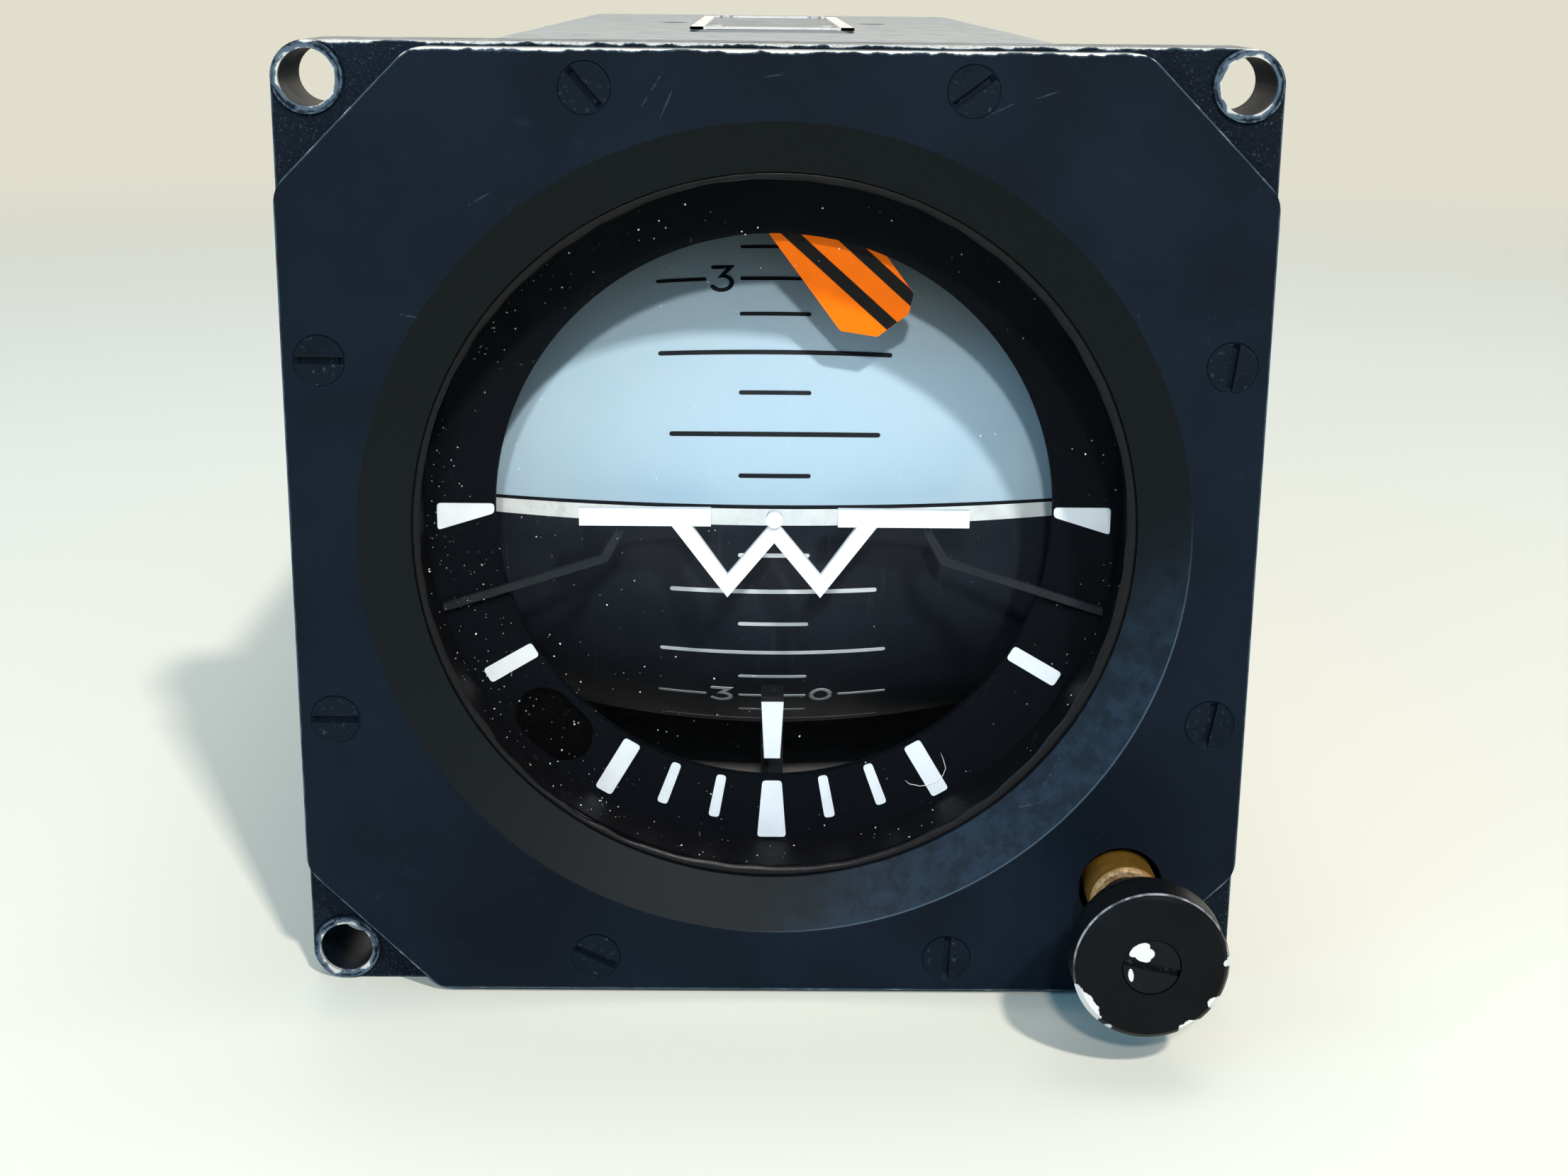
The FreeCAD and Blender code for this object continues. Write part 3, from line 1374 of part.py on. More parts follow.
def rotor_bearings():
    body = new_body("rotor_bearings", UPRIGHT, 0, gyro_y, 0)
    for side in (-1, 1):
        low = (gyro_half - rotor_bearing_height) if side > 0 else -gyro_half
        prism(body, low, low + rotor_bearing_height,
              circle(0, 0, rotor_bearing_radius), circle(0, 0, rotor_shaft_radius + run_gap))
    return body


def gyro_stator():
    body = new_body("gyro_stator", UPRIGHT, 0, gyro_y, 0)
    face = -gyro_half
    top = rotor_half - rotor_web - winding_gap
    bottom = winding_lift - rotor_half
    foot_inner = rotor_bearing_radius + seat_wall
    foot_outer = winding_bore_radius + winding_foot
    revolve(body, "Revolution", [
        (foot_inner, face), (foot_outer, face), (foot_outer, bottom), (winding_radius, bottom),
        (winding_radius, top), (winding_bore_radius, top), (winding_bore_radius, bottom),
        (foot_inner, -rotor_half - winding_gap)])
    return body


def gyro_rotor():
    """Heavy rim hung from a top web, with the shaft through both bearings."""
    body = new_body("gyro_rotor", UPRIGHT, 0, gyro_y, 0)
    web_low = rotor_half - rotor_web
    top = gyro_half - fit_gap
    rim_inner = rotor_radius - rotor_rim_thick
    shaft, hub = rotor_shaft_radius, rotor_shaft_radius + rotor_shoulder
    revolve(body, "Revolution", [
        (0, -top), (shaft, -top), (shaft, web_low - rotor_taper), (hub, web_low),
        (rim_inner, web_low), (rim_inner, -rotor_half), (rotor_radius, -rotor_half),
        (rotor_radius, rotor_half), (hub, rotor_half), (hub, rotor_half + rotor_shoulder),
        (shaft, rotor_half + rotor_shoulder), (shaft, top), (0, top)])
    return body


# --- Build --------------------------------------------------------------------------------

NODES = [
    front_plate(), front_plate_screws(), mounting_flange(), glass_seal(), cover_glass(),
    dial_mask(), mask_screws(), aircraft_symbol(), symbol_wires(),
    case_tube(), case_screws(), rear_cover(), rear_cover_screws(),
    connector_shell(), connector_insert(), connector_pins(), connector_screws(),
    bearing_housing(), roll_bearings(), tie_rods(), circuit_boards(), transformer(),
    capacitors(), brush_block(), torquer_stator(),
    flag_blade(), flag_pivot(), flag_coil(),
    knob_bush(), pull_knob(), knob_screw(), knob_shaft(), cage_arm(), pull_rod(),
    pocket_cover(), return_spring(), fast_erect_switch(), switch_plunger(),
    roll_gimbal_frame(), bank_pointer(), roll_shaft(), slip_rings(), torquer_rotor(),
    side_bearings("drum_bearings", drum_y, axle_radius),
    side_bearings("gimbal_bearings", gyro_y, trunnion_radius),
    idler_pins(),
    gear("gimbal_gear", GIMBAL_TEETH, gyro_y, False, trunnion_radius),
    gear("rear_idler_gear", IDLER_TEETH, rear_idler_y, True, gear_bore + run_gap),
    gear("front_idler_gear", IDLER_TEETH, front_idler_y, True, gear_bore + run_gap),
    gear("drum_gear", DRUM_TEETH, drum_y, True, axle_radius),
    drum_shell("drum_sky", True), drum_shell("drum_ground", False), drum_end_caps(),
    drum_axle(),
    gyro_housing(), gyro_covers(), trunnions(), rotor_bearings(), gyro_stator(),
    gyro_rotor(),
]

doc.recompute()

failed = [item.Label for item in doc.Objects
          if "Invalid" in item.State or "Error" in item.State]
if failed:
    raise RuntimeError("failed objects: " + ", ".join(failed))
for node in NODES:
    if node.Shape.isNull() or not node.Shape.isValid() or not node.Shape.Solids:
        raise RuntimeError("bad shape: " + node.Label)

os.makedirs("parts", exist_ok=True)
for node in NODES:
    node.Shape.exportStep("parts/%s.step" % node.Label)
print("wrote", len(NODES), "parts")
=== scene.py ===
import math
import random

import bmesh
import bpy
from mathutils import Matrix, Vector

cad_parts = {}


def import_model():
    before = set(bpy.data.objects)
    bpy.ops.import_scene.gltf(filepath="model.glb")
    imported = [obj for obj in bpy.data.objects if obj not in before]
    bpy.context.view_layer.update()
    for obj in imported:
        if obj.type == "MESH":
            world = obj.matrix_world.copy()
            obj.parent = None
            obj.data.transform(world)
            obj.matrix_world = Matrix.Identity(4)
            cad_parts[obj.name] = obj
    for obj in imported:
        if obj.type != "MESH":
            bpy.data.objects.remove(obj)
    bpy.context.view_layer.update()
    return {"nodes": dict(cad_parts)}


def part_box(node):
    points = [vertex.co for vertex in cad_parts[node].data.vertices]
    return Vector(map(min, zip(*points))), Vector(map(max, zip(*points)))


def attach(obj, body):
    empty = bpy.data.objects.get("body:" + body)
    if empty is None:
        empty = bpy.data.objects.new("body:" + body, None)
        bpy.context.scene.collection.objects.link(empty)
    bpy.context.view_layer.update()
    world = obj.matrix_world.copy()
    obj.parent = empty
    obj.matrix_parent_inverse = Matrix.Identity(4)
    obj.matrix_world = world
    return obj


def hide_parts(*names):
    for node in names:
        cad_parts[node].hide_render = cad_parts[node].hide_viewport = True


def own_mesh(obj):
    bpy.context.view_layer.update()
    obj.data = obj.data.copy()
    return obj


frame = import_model()
nodes = frame["nodes"]

MM = 0.001                       # every size below is in millimetres until it reaches a mesh
DEG = math.pi / 180


# --- Places read from the CAD frame ---------------------------------------------------------

def low(node, axis):
    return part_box(node)[0][axis] / MM


def high(node, axis):
    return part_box(node)[1][axis] / MM


def middle(node, axis):
    return (low(node, axis) + high(node, axis)) / 2


FACE_Y = low("front_plate", 1)            # front of the bezel
SIGHT_Y = high("front_plate", 1)          # its rear face, where the glass sits
PLATE_HALF = high("front_plate", 0)
FLANGE_HALF = high("mounting_flange", 0)
FLOOR_Z = low("mounting_flange", 2)
CASE_TOP = high("case_tube", 2)
MASK_Y = low("dial_mask", 1)
GLASS_Y = low("cover_glass", 1)
FLAG_Y = low("flag_blade", 1)
DRUM_RADIUS = high("drum_sky", 2)
DRUM_HALF = high("drum_sky", 0)
DRUM_Y = middle("drum_sky", 1)
KNOB_X, KNOB_Z = middle("pull_knob", 0), middle("pull_knob", 2)
KNOB_Y = low("pull_knob", 1)
KNOB_RADIUS = (high("pull_knob", 0) - low("pull_knob", 0)) / 2
BUSH_Y = low("knob_bush", 1)
POINTER_Y = low("bank_pointer", 1)
POINTER_TOP = high("bank_pointer", 2)

# Sizes that a node's box doesn't give, as the part has them.
LUG_Y = FACE_Y + 3.0                      # front of the four panel lugs
HOLE_RADIUS, BOSS_RADIUS = 2.35, 2.95     # panel hole, and the round boss about it
HOLE_HALF = 38.5                          # axis to a panel hole, across and up
PLATE_CUT = 50.1                          # axis to the bezel's corner cuts
BEVEL_OUTER, BEVEL_INNER = 35.5, 31.3     # radii of the bevel round the glass
DRUM_BARREL = 90.0                        # radius of the drum's side profile
FLAG_PIVOT = (-2.8, 33.8)                 # across and up


# --- Mesh helpers ---------------------------------------------------------------------------

def finish_piece(name, bm, body, material, smooth=None):
    """Turns a bmesh in millimetres into a named object that rides on a body."""
    bmesh.ops.recalc_face_normals(bm, faces=bm.faces)
    mesh = bpy.data.meshes.new(name)
    bm.to_mesh(mesh)
    bm.free()
    mesh.transform(Matrix.Scale(MM, 4))
    piece = bpy.data.objects.new(name, mesh)
    bpy.context.scene.collection.objects.link(piece)
    piece.data.materials.append(material)
    if smooth:
        mesh.shade_smooth()
        mesh.set_sharp_from_angle(angle=smooth * DEG)
    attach(piece, body)
    return piece


def prism(bm, outline, place, near, far):
    """A closed plate: an outline of (u, v) carried to 3-D by place(u, v, depth)."""
    front = [bm.verts.new(place(u, v, near)) for u, v in outline]
    back = [bm.verts.new(place(u, v, far)) for u, v in outline]
    bm.faces.new(front)
    bm.faces.new(reversed(back))
    for index in range(len(outline)):
        after = (index + 1) % len(outline)
        bm.faces.new((front[index], back[index], back[after], front[after]))


def facing(u, v, depth):
    """Plate coordinates of the dial: u right, v up, depth along Y."""
    return u, depth, v


def sweep(bm, sections, closed=False):
    """Joins equal rings of points into one skin; an open sweep gets end caps."""
    rings = [[bm.verts.new(point) for point in section] for section in sections]
    count = len(rings[0])
    pairs = list(zip(rings, rings[1:]))
    if closed:
        pairs.append((rings[-1], rings[0]))
    for first, second in pairs:
        for index in range(count):
            after = (index + 1) % count
            bm.faces.new((first[index], first[after], second[after], second[index]))
    if not closed:
        bm.faces.new(reversed(rings[0]))
        bm.faces.new(rings[-1])


def rounded(outline, radius, steps=4):
    """Rounds every corner of a convex outline with a short arc."""
    points = []
    count = len(outline)
    for index in range(count):
        here = Vector(outline[index])
        before = Vector(outline[index - 1]) - here
        after = Vector(outline[(index + 1) % count]) - here
        reach = min(radius, before.length * 0.45, after.length * 0.45)
        start, end = here + before.normalized() * reach, here + after.normalized() * reach
        for step in range(steps + 1):
            t = step / steps
            points.append(tuple((1 - t) ** 2 * start + 2 * t * (1 - t) * here + t * t * end))
    return points


def clip(outline, border):
    """The part of one outline inside a convex border that runs counter-clockwise."""
    kept = [Vector(point) for point in outline]
    for index in range(len(border)):
        start, end = Vector(border[index]), Vector(border[(index + 1) % len(border)])
        edge = end - start

        def side(point):
            return edge.x * (point.y - start.y) - edge.y * (point.x - start.x)

        source, kept = kept, []
        for here, after in zip(source, source[1:] + source[:1]):
            if side(here) >= 0:
                kept.append(here)
            if (side(here) >= 0) != (side(after) >= 0):
                kept.append(here.lerp(after, side(here) / (side(here) - side(after))))
    return [tuple(point) for point in kept]


# --- Node materials -------------------------------------------------------------------------

class Shader:
    """One node material, with short calls for the nodes that it is made of."""

    def __init__(self, name, base, roughness, metallic=0.0, **sockets):
        self.material = bpy.data.materials.new(name)
        self.material.use_nodes = True
        self.tree = self.material.node_tree
        self.bsdf = self.tree.nodes["Principled BSDF"]
        self.bsdf.inputs["Base Color"].default_value = (*base, 1)
        self.bsdf.inputs["Roughness"].default_value = roughness
        self.bsdf.inputs["Metallic"].default_value = metallic
        for socket, value in sockets.items():
            self.bsdf.inputs[socket.replace("_", " ")].default_value = value
        self.base = (*base, 1)
        self.roughness = roughness
        self.color = None
        self.rough = None
        self.height = None
        self.metal = None

    def node(self, kind, inputs=None, **settings):
        node = self.tree.nodes.new("ShaderNode" + kind)
        for key, value in settings.items():
            setattr(node, key, value)
        for key, value in (inputs or {}).items():
            if isinstance(value, bpy.types.NodeSocket):
                self.tree.links.new(value, node.inputs[key])
            elif value is not None:
                node.inputs[key].default_value = value
        return node

    def place(self):
        """The point in the object's own frame, in millimetres."""
        spot = self.node("TexCoord").outputs["Object"]
        return self.node("VectorMath", {0: spot, 1: (1000, 1000, 1000)},
                         operation="MULTIPLY").outputs[0]

    def split(self, vector):
        return self.node("SeparateXYZ", {0: vector}).outputs

    def math(self, operation, first, second=None, third=None):
        return self.node("Math", {0: first, 1: second, 2: third}, operation=operation).outputs[0]

    def chain(self, operation, values):
        """One arithmetic node after another, over all the values."""
        total = values[0]
        for value in values[1:]:
            total = self.math(operation, total, value)
        return total

    def plus(self, *values):
        return self.chain("ADD", values)

    def minus(self, *values):
        return self.chain("SUBTRACT", values)

    def times(self, *values):
        return self.chain("MULTIPLY", values)

    def most(self, *values):
        return self.chain("MAXIMUM", values)

    def times_plus(self, value, factor, extra):
        """value x factor + extra, in one node."""
        return self.math("MULTIPLY_ADD", value, factor, extra)

    def size(self, value):
        return self.math("ABSOLUTE", value)

    def length(self, u, v):
        return self.math("SQRT", self.plus(self.times(u, u), self.times(v, v)))

    def distance(self, u, v, middle):
        return self.length(self.minus(u, middle[0]), self.minus(v, middle[1]))

    def noise(self, scale, detail=3.0, rough=0.55, spot=None, distortion=0.0):
        """Noise with the given number of cells in a millimetre."""
        return self.node("TexNoise", {"Vector": spot or self.place(), "Scale": scale,
                                      "Detail": detail, "Roughness": rough,
                                      "Distortion": distortion}).outputs["Fac"]

    def ramp(self, value, start, end, low=0.0, high=1.0):
        """A smooth step from low to high as the value goes from start to end."""
        node = self.node("MapRange", {"Value": value, "From Min": start, "From Max": end,
                                      "To Min": low, "To Max": high})
        node.interpolation_type = "SMOOTHSTEP"
        return node.outputs["Result"]

    def mix(self, factor, first, second):
        node = self.node("Mix", {"Factor": factor}, data_type="RGBA")
        for socket, value in ((node.inputs[6], first), (node.inputs[7], second)):
            if isinstance(value, bpy.types.NodeSocket):
                self.tree.links.new(value, socket)
            else:
                socket.default_value = (*value[:3], 1)
        return node.outputs[2]

    def tint(self, factor, color):
        """Lays a colour over the base wherever the factor is high."""
        self.color = self.mix(factor, self.color or self.base, color)

    def gloss(self, factor, roughness):
        """Moves the roughness towards a new value wherever the factor is high."""
        first = self.rough if self.rough is not None else self.roughness
        self.rough = self.times_plus(self.minus(roughness, first), factor, first)

    def lift(self, value, amount):
        """Adds to the bump height; the amount is in millimetres."""
        grown = self.times(value, amount)
        self.height = self.plus(self.height, grown) if self.height else grown

    def blob(self, u, v, middle, half, turn, ragged):
        """One ragged-edged patch: 1 inside an ellipse of half sizes about a middle."""
        du, dv = self.minus(u, middle[0]), self.minus(v, middle[1])
        cos, sin = math.cos(turn * DEG), math.sin(turn * DEG)
        along = self.plus(self.times(du, cos / half[0]), self.times(dv, sin / half[0]))
        aside = self.plus(self.times(du, -sin / half[1]), self.times(dv, cos / half[1]))
        edge = self.times_plus(self.noise(1.3, 3, 0.6), ragged, self.length(along, aside))
        border = 1.0 + ragged / 2
        return self.ramp(edge, border + 0.03, border - 0.03)

    def done(self):
        links = self.tree.links
        if self.color:
            links.new(self.color, self.bsdf.inputs["Base Color"])
        if self.rough is not None:
            links.new(self.rough, self.bsdf.inputs["Roughness"])
        if self.metal:
            links.new(self.metal, self.bsdf.inputs["Metallic"])
        if self.height:
            bump = self.node("Bump", {"Strength": 1.0, "Distance": MM, "Height": self.height})
            links.new(bump.outputs[0], self.bsdf.inputs["Normal"])
        return self.material


def mottled(name, base, roughness, light=1.35, dark=0.7, patch=0.12, grain=3.0, bump=0.006,
            metallic=0.0, **sockets):
    """Plain finish with slow patches of tone, fine grain and uneven gloss."""
    shader = Shader(name, base, roughness, metallic, **sockets)
    slow, fine = shader.noise(patch, 4), shader.noise(grain, 2)
    shader.tint(shader.ramp(slow, 0.35, 0.75), [c * light for c in base])
    shader.tint(shader.ramp(slow, 0.5, 0.2, 0, 0.8), [c * dark for c in base])
    shader.gloss(shader.ramp(shader.noise(patch * 2.3, 4), 0.35, 0.7), roughness + 0.12)
    shader.lift(fine, bump)
    return shader


def upward(shader, start, end):
    """1 where a face looks up, 0 where it doesn't."""
    normal = shader.node("NewGeometry").outputs["True Normal"]
    return shader.ramp(shader.split(normal)[2], start, end)


WHITE = (0.74, 0.76, 0.75)
BARE = (0.66, 0.63, 0.56)        # metal where paint has gone
CHIPPED = (0.64, 0.62, 0.58)     # metal under the knob's paint
SCUFF_AND_SHEEN = (0.10, 0.145, 0.185)     # paint rubbed pale but not through; on the bevel's lower-right lip it is a painted highlight


def lug_wear(shader, spot, front, ragged, rubbed, worn):
    """Wear round the panel holes, the rough cast corners outside their bosses, and painted shade
    in the flange's bore.
    """
    x, y, z = shader.split(spot)
    hole = shader.distance(shader.size(x), shader.size(z), (HOLE_HALF, HOLE_HALF))
    facing_out = shader.ramp(y, front + 0.25, front - 0.05)
    crescent = shader.times_plus(shader.noise(0.45, 3, 0.6, spot), 1.9, -0.72)
    edge = shader.times_plus(ragged, 0.30, shader.plus(crescent, HOLE_RADIUS))
    over = shader.minus(edge, hole)
    rim = shader.ramp(over, -0.12, 0.12)
    boss = shader.ramp(shader.size(shader.minus(hole, BOSS_RADIUS - 0.08)), 0.16, 0.02)
    boss = shader.times(boss, shader.ramp(ragged, 0.44, 0.56, 0.15, 1.0))
    rubbed = shader.most(rubbed, shader.times(shader.most(rim, boss), facing_out))
    core = shader.ramp(over, 0.24, 0.42, 0.0, 0.85)
    worn = shader.most(worn, shader.times(core, facing_out))
    corner = shader.times(shader.ramp(hole, BOSS_RADIUS, BOSS_RADIUS + 0.25),
                          shader.ramp(y, front + 0.5, front))
    shader.lift(shader.times(shader.noise(2.2, 4, 0.75, spot), corner), 0.22)
    grit = shader.ramp(shader.noise(4.5, 3, 0.7, spot), 0.60, 0.68)
    shader.tint(shader.times(grit, corner, 0.35), SCUFF_AND_SHEEN)
    # Painted shade: near black inside a radius of 37 mm, where the flange's bore lies recessed
    # behind the plate's opening.
    shader.tint(shader.ramp(shader.length(x, z), 37.0, 36.8), (0.004, 0.004, 0.005))
    return rubbed, worn


def bezel_paint(name, half, front, cut=None, lugs=False):
    """Blue-black satin paint, worn to metal along its front edges, dusty on top."""
    shader = mottled(name, (0.0028, 0.0058, 0.0105), 0.46, light=1.6, patch=0.06, grain=2.2,
                     bump=0.004, Specular_IOR_Level=0.065)
    spot = shader.place()
    x, y, z = shader.split(spot)
    wide, tall = shader.size(x), shader.size(z)
    inset = shader.minus(half, shader.most(wide, tall))
    if cut:
        slant = shader.times(shader.plus(wide, tall), math.sqrt(0.5))
        inset = shader.math("MINIMUM", inset, shader.minus(cut, slant))
    depth = shader.length(shader.most(inset, 0.0), shader.most(shader.minus(y, front), 0.0))
    ragged = shader.noise(1.6, 5, 0.65, spot)
    uneven = shader.noise(0.55, 3, 0.55, spot)
    top = shader.ramp(z, half - 0.9, half - 0.4)
    reach = shader.times(shader.times_plus(top, 0.15, 0.05),
                         shader.ramp(uneven, 0.30, 0.66, 0.15, 1.45))
    reach = shader.times_plus(ragged, 0.10, reach)
    gap = shader.minus(reach, 0.05, depth)
    rubbed = shader.ramp(gap, -0.14, 0.08)
    bare = shader.times(shader.ramp(uneven, 0.56, 0.64, 0.0, 0.8),
                        shader.ramp(wide, half - 0.4, half - 1.5))
    worn = shader.times(shader.ramp(gap, 0.0, 0.08), shader.most(top, bare))
    if lugs:
        rubbed, worn = lug_wear(shader, spot, front, ragged, rubbed, worn)
    shader.tint(shader.ramp(shader.noise(6.0, 2, 0.5, spot), 0.71, 0.77, 0, 0.30),
                (0.05, 0.065, 0.08))
    shader.tint(shader.ramp(shader.noise(0.35, 5, 0.7, spot), 0.60, 0.80, 0, 0.30),
                (0.022, 0.034, 0.046))
    shader.tint(shader.times(rubbed, 0.70), SCUFF_AND_SHEEN)
    shader.tint(worn, BARE)
    shader.gloss(worn, 0.40)
    shader.metal = shader.times(worn, 0.25)
    dust_and_sheen = shader.times(upward(shader, 0.55, 0.9), shader.ramp(z, half - 1.5, half - 1.0),
                           shader.ramp(shader.noise(0.4, 5, 0.7, spot), 0.30, 0.65, 0.2, 0.7))
    shader.tint(dust_and_sheen, (0.36, 0.35, 0.32))
    shader.lift(shader.minus(1.0, worn), 0.03)
    return shader


# Middle, heading in degrees and length of each scratch on the plate.
SCRATCHES = ((-10.2, 38.0, 58, 3.4), (-9.0, 37.0, 66, 2.6), (17.5, 36.4, 25, 3.0),
             (22.0, 37.9, 18, 2.8), (-0.5, 39.1, 8, 1.8), (24.6, -21.0, 62, 4.4),
             (22.8, -23.8, 20, 2.0), (-30.5, 19.5, -10, 1.6), (-24.5, 29.0, 30, 2.2),
             (30.0, 20.5, 75, 1.4))
SCRATCH_HALF = 0.075


def plate_paint():
    """The bezel plate: its paint, a painted bluish sheen and edge highlight on the bevel at
    lower right, and a few scratches.
    """
    shader = bezel_paint("bezel_plate_paint", PLATE_HALF, FACE_Y, cut=PLATE_CUT)
    spot = shader.place()
    x, y, z = shader.split(spot)
    ring = shader.length(x, z)
    bevel = shader.ramp(shader.minus(BEVEL_OUTER, ring), -0.05, 0.1)
    shader.tint(shader.times(bevel, 0.9), (0.0048, 0.0066, 0.0070))
    shader.gloss(bevel, 0.50)
    # Painted sheen: the bevel turns bluish towards lower right, where it would mirror the window
    # light; noise makes it uneven.
    painted_sheen_side = shader.ramp(shader.minus(x, z), 30.0, 46.0)
    sheen_unevenness = shader.ramp(shader.noise(0.5, 5, 0.7, spot), 0.35, 0.65, 0.35, 1.0)
    shader.tint(shader.times(sheen_unevenness, painted_sheen_side, bevel, 0.6), (0.020, 0.038, 0.062))
    # Painted highlight: a thin pale line along the bevel's outer edge, at lower right only.
    lip = shader.ramp(shader.size(shader.minus(ring, BEVEL_OUTER)), 0.10, 0.02)
    shader.tint(shader.times(lip, painted_sheen_side, 0.5), SCUFF_AND_SHEEN)
    broken = shader.ramp(shader.noise(1.1, 4, 0.7, spot), 0.44, 0.56)
    for cx, cz, turn, length in SCRATCHES:
        line = shader.blob(x, z, (cx, cz), (length / 2, SCRATCH_HALF), turn, 1.3)
        shader.tint(shader.times(line, broken, 0.22), (0.09, 0.11, 0.13))
    return shader.done()


def screw_paint():
    """The bezel screws: black, with a few bright chips where the noise is strongest."""
    shader = mottled("screw_paint", (0.0030, 0.0060, 0.0100), 0.50, patch=0.25, grain=4.0,
                     bump=0.003, Specular_IOR_Level=0.06)
    spot = shader.place()
    rubbed = shader.ramp(shader.noise(1.8, 5, 0.65, spot), 0.58, 0.70, 0, 0.22)
    worn = shader.ramp(shader.noise(3.06, 4, 0.6, spot), 0.74, 0.77)
    shader.tint(rubbed, SCUFF_AND_SHEEN)
    shader.tint(shader.times(worn, 0.5), (0.30, 0.29, 0.27))
    shader.gloss(worn, 0.45)
    return shader.done()


# Chips round the knob's rim: the middle and half spread in degrees, then the width.
RIM_CHIPS = ((-147, 22, 1.00), (-58, 15, 0.66), (-31, 9, 0.78), (4, 7, 0.60), (-121, 5, 0.55))


def knob_paint():
    """Satin black, with a painted highlight along its upper rim that is partly worn polish, and
    chipped at lower left, lower right and right.
    """
    shader = mottled("knob_paint", (0.0030, 0.0036, 0.0044), 0.34, patch=0.2, grain=5.0,
                     bump=0.002, Specular_IOR_Level=0.07)
    spot = shader.place()
    x, y, z = shader.split(spot)
    across, up = shader.minus(x, KNOB_X), shader.minus(z, KNOB_Z)
    turn = shader.math("ARCTAN2", up, across)
    rim = shader.minus(KNOB_RADIUS, shader.length(across, up))
    behind = shader.minus(y, KNOB_Y)
    inward = shader.plus(rim, shader.times(behind, 0.8))
    lumps = shader.times(shader.minus(shader.noise(1.1, 4, 0.6, spot), 0.5), 0.9)
    chips = []
    for heading, spread, width in RIM_CHIPS:
        away = shader.math("DIVIDE", shader.minus(turn, heading * DEG), spread * DEG)
        reach = shader.minus(1.0, shader.times(away, away))
        reach = shader.times_plus(reach, width, lumps)
        chips.append(shader.times(shader.ramp(shader.minus(reach, inward), 0, 0.05),
                                  shader.ramp(shader.size(away), 1.15, 1.05)))
    worn = shader.most(*chips)
    # Painted highlight, partly worn polish: a pale line along the rim's front edge, strongest on
    # the upper side, broken by noise.
    edge = shader.ramp(shader.size(shader.minus(rim, 0.10)), 0.10, 0.02)
    front = shader.ramp(behind, 0.6, 0.3)
    above = shader.ramp(up, -KNOB_RADIUS * 0.75, KNOB_RADIUS * 0.35, 0.12, 1.0)
    streak = shader.ramp(shader.noise(0.7, 4, 0.6, spot), 0.35, 0.62, 0.10, 0.80)
    shader.tint(shader.times(edge, front, above, streak), (0.46, 0.46, 0.46))
    shader.tint(worn, CHIPPED)
    shader.gloss(worn, 0.5)
    shader.lift(shader.minus(1.0, worn), 0.05)
    return shader.done()


# Bright patches of the knob's screw: the middle from its axis, half sizes and turn.
SCREW_CHIPS = (((-1.05, 1.52), (0.92, 0.48), 30), ((-0.28, 1.18), (0.48, 0.46), 0),
               ((-0.78, 0.92), (0.72, 0.42), -25), ((-1.66, -0.72), (0.22, 0.56), 8))


def knob_screw_paint():
    """The knob's screw: black, with bright chips beside its slot."""
    shader = mottled("knob_screw_paint", (0.0036, 0.0038, 0.0050), 0.40, patch=0.25, grain=4.0,
                     bump=0.003, Specular_IOR_Level=0.10)
    x, y, z = shader.split(shader.place())
    chips = shader.most(*[
        shader.blob(x, z, (KNOB_X + across, KNOB_Z + up), half, turn, 0.3)
        for (across, up), half, turn in SCREW_CHIPS])
    chips = shader.times(chips, shader.ramp(y, KNOB_Y + 0.30, KNOB_Y + 0.22))
    slot = shader.times(shader.ramp(y, KNOB_Y + 0.28, KNOB_Y + 0.5),
                        shader.ramp(shader.noise(3.0, 4, 0.7), 0.57, 0.66, 0, 0.35))
    shader.tint(slot, (0.25, 0.25, 0.24))
    shader.tint(chips, CHIPPED)
    shader.gloss(chips, 0.5)
    return shader.done()


def drum_finish(name, base, patch_tone, streak_tone, roughness, scuffs=0.0):
    """Matt drum paint with soft patches and faint streaks along its turning direction."""
    shader = Shader(name, base, roughness, Specular_IOR_Level=0.10)
    spot = shader.place()
    slow = shader.noise(0.10, 4, 0.6, spot)
    shader.tint(shader.ramp(slow, 0.38, 0.72, 0, 0.8), patch_tone)
    stretched = shader.node("VectorMath", {0: spot, 1: (1.6, 0.09, 0.09)},
                            operation="MULTIPLY").outputs[0]
    streaks = shader.noise(1.0, 4, 0.65, stretched)
    shader.tint(shader.ramp(streaks, 0.60, 0.72, 0, 0.35), streak_tone)
    grain = shader.noise(4.5, 3, 0.7, spot)
    shader.tint(shader.ramp(grain, 0.60, 0.72, 0, 0.25 + scuffs), streak_tone)
    if scuffs:
        slanted = shader.node("VectorRotate", {"Vector": spot, "Angle": 38 * DEG},
                              rotation_type="Y_AXIS").outputs[0]
        slanted = shader.node("VectorMath", {0: slanted, 1: (0.5, 1.0, 5.5)},
                              operation="MULTIPLY").outputs[0]
        hairs = shader.noise(1.0, 2, 0.5, slanted, 0.15)
        shader.tint(shader.ramp(hairs, 0.70, 0.76, 0, 0.5), (0.055, 0.055, 0.065))
    shader.lift(shader.noise(3.5, 2, 0.5, spot), 0.004)
    shader.gloss(shader.ramp(slow, 0.3, 0.7), roughness - 0.12)
    return shader.done()


def flat_paint(name, base, roughness=0.55, speck=(0.3, 0.3, 0.3), amount=0.25):
    """Printed or sprayed mark: slightly uneven, with a few specks."""
    shader = mottled(name, base, roughness, light=1.06, dark=0.9, patch=0.3, grain=5.0,
                     bump=0.003, Specular_IOR_Level=0.08)
    shader.tint(shader.ramp(shader.noise(2.8, 3, 0.6), 0.66, 0.74, 0, amount), speck)
    return shader.done()


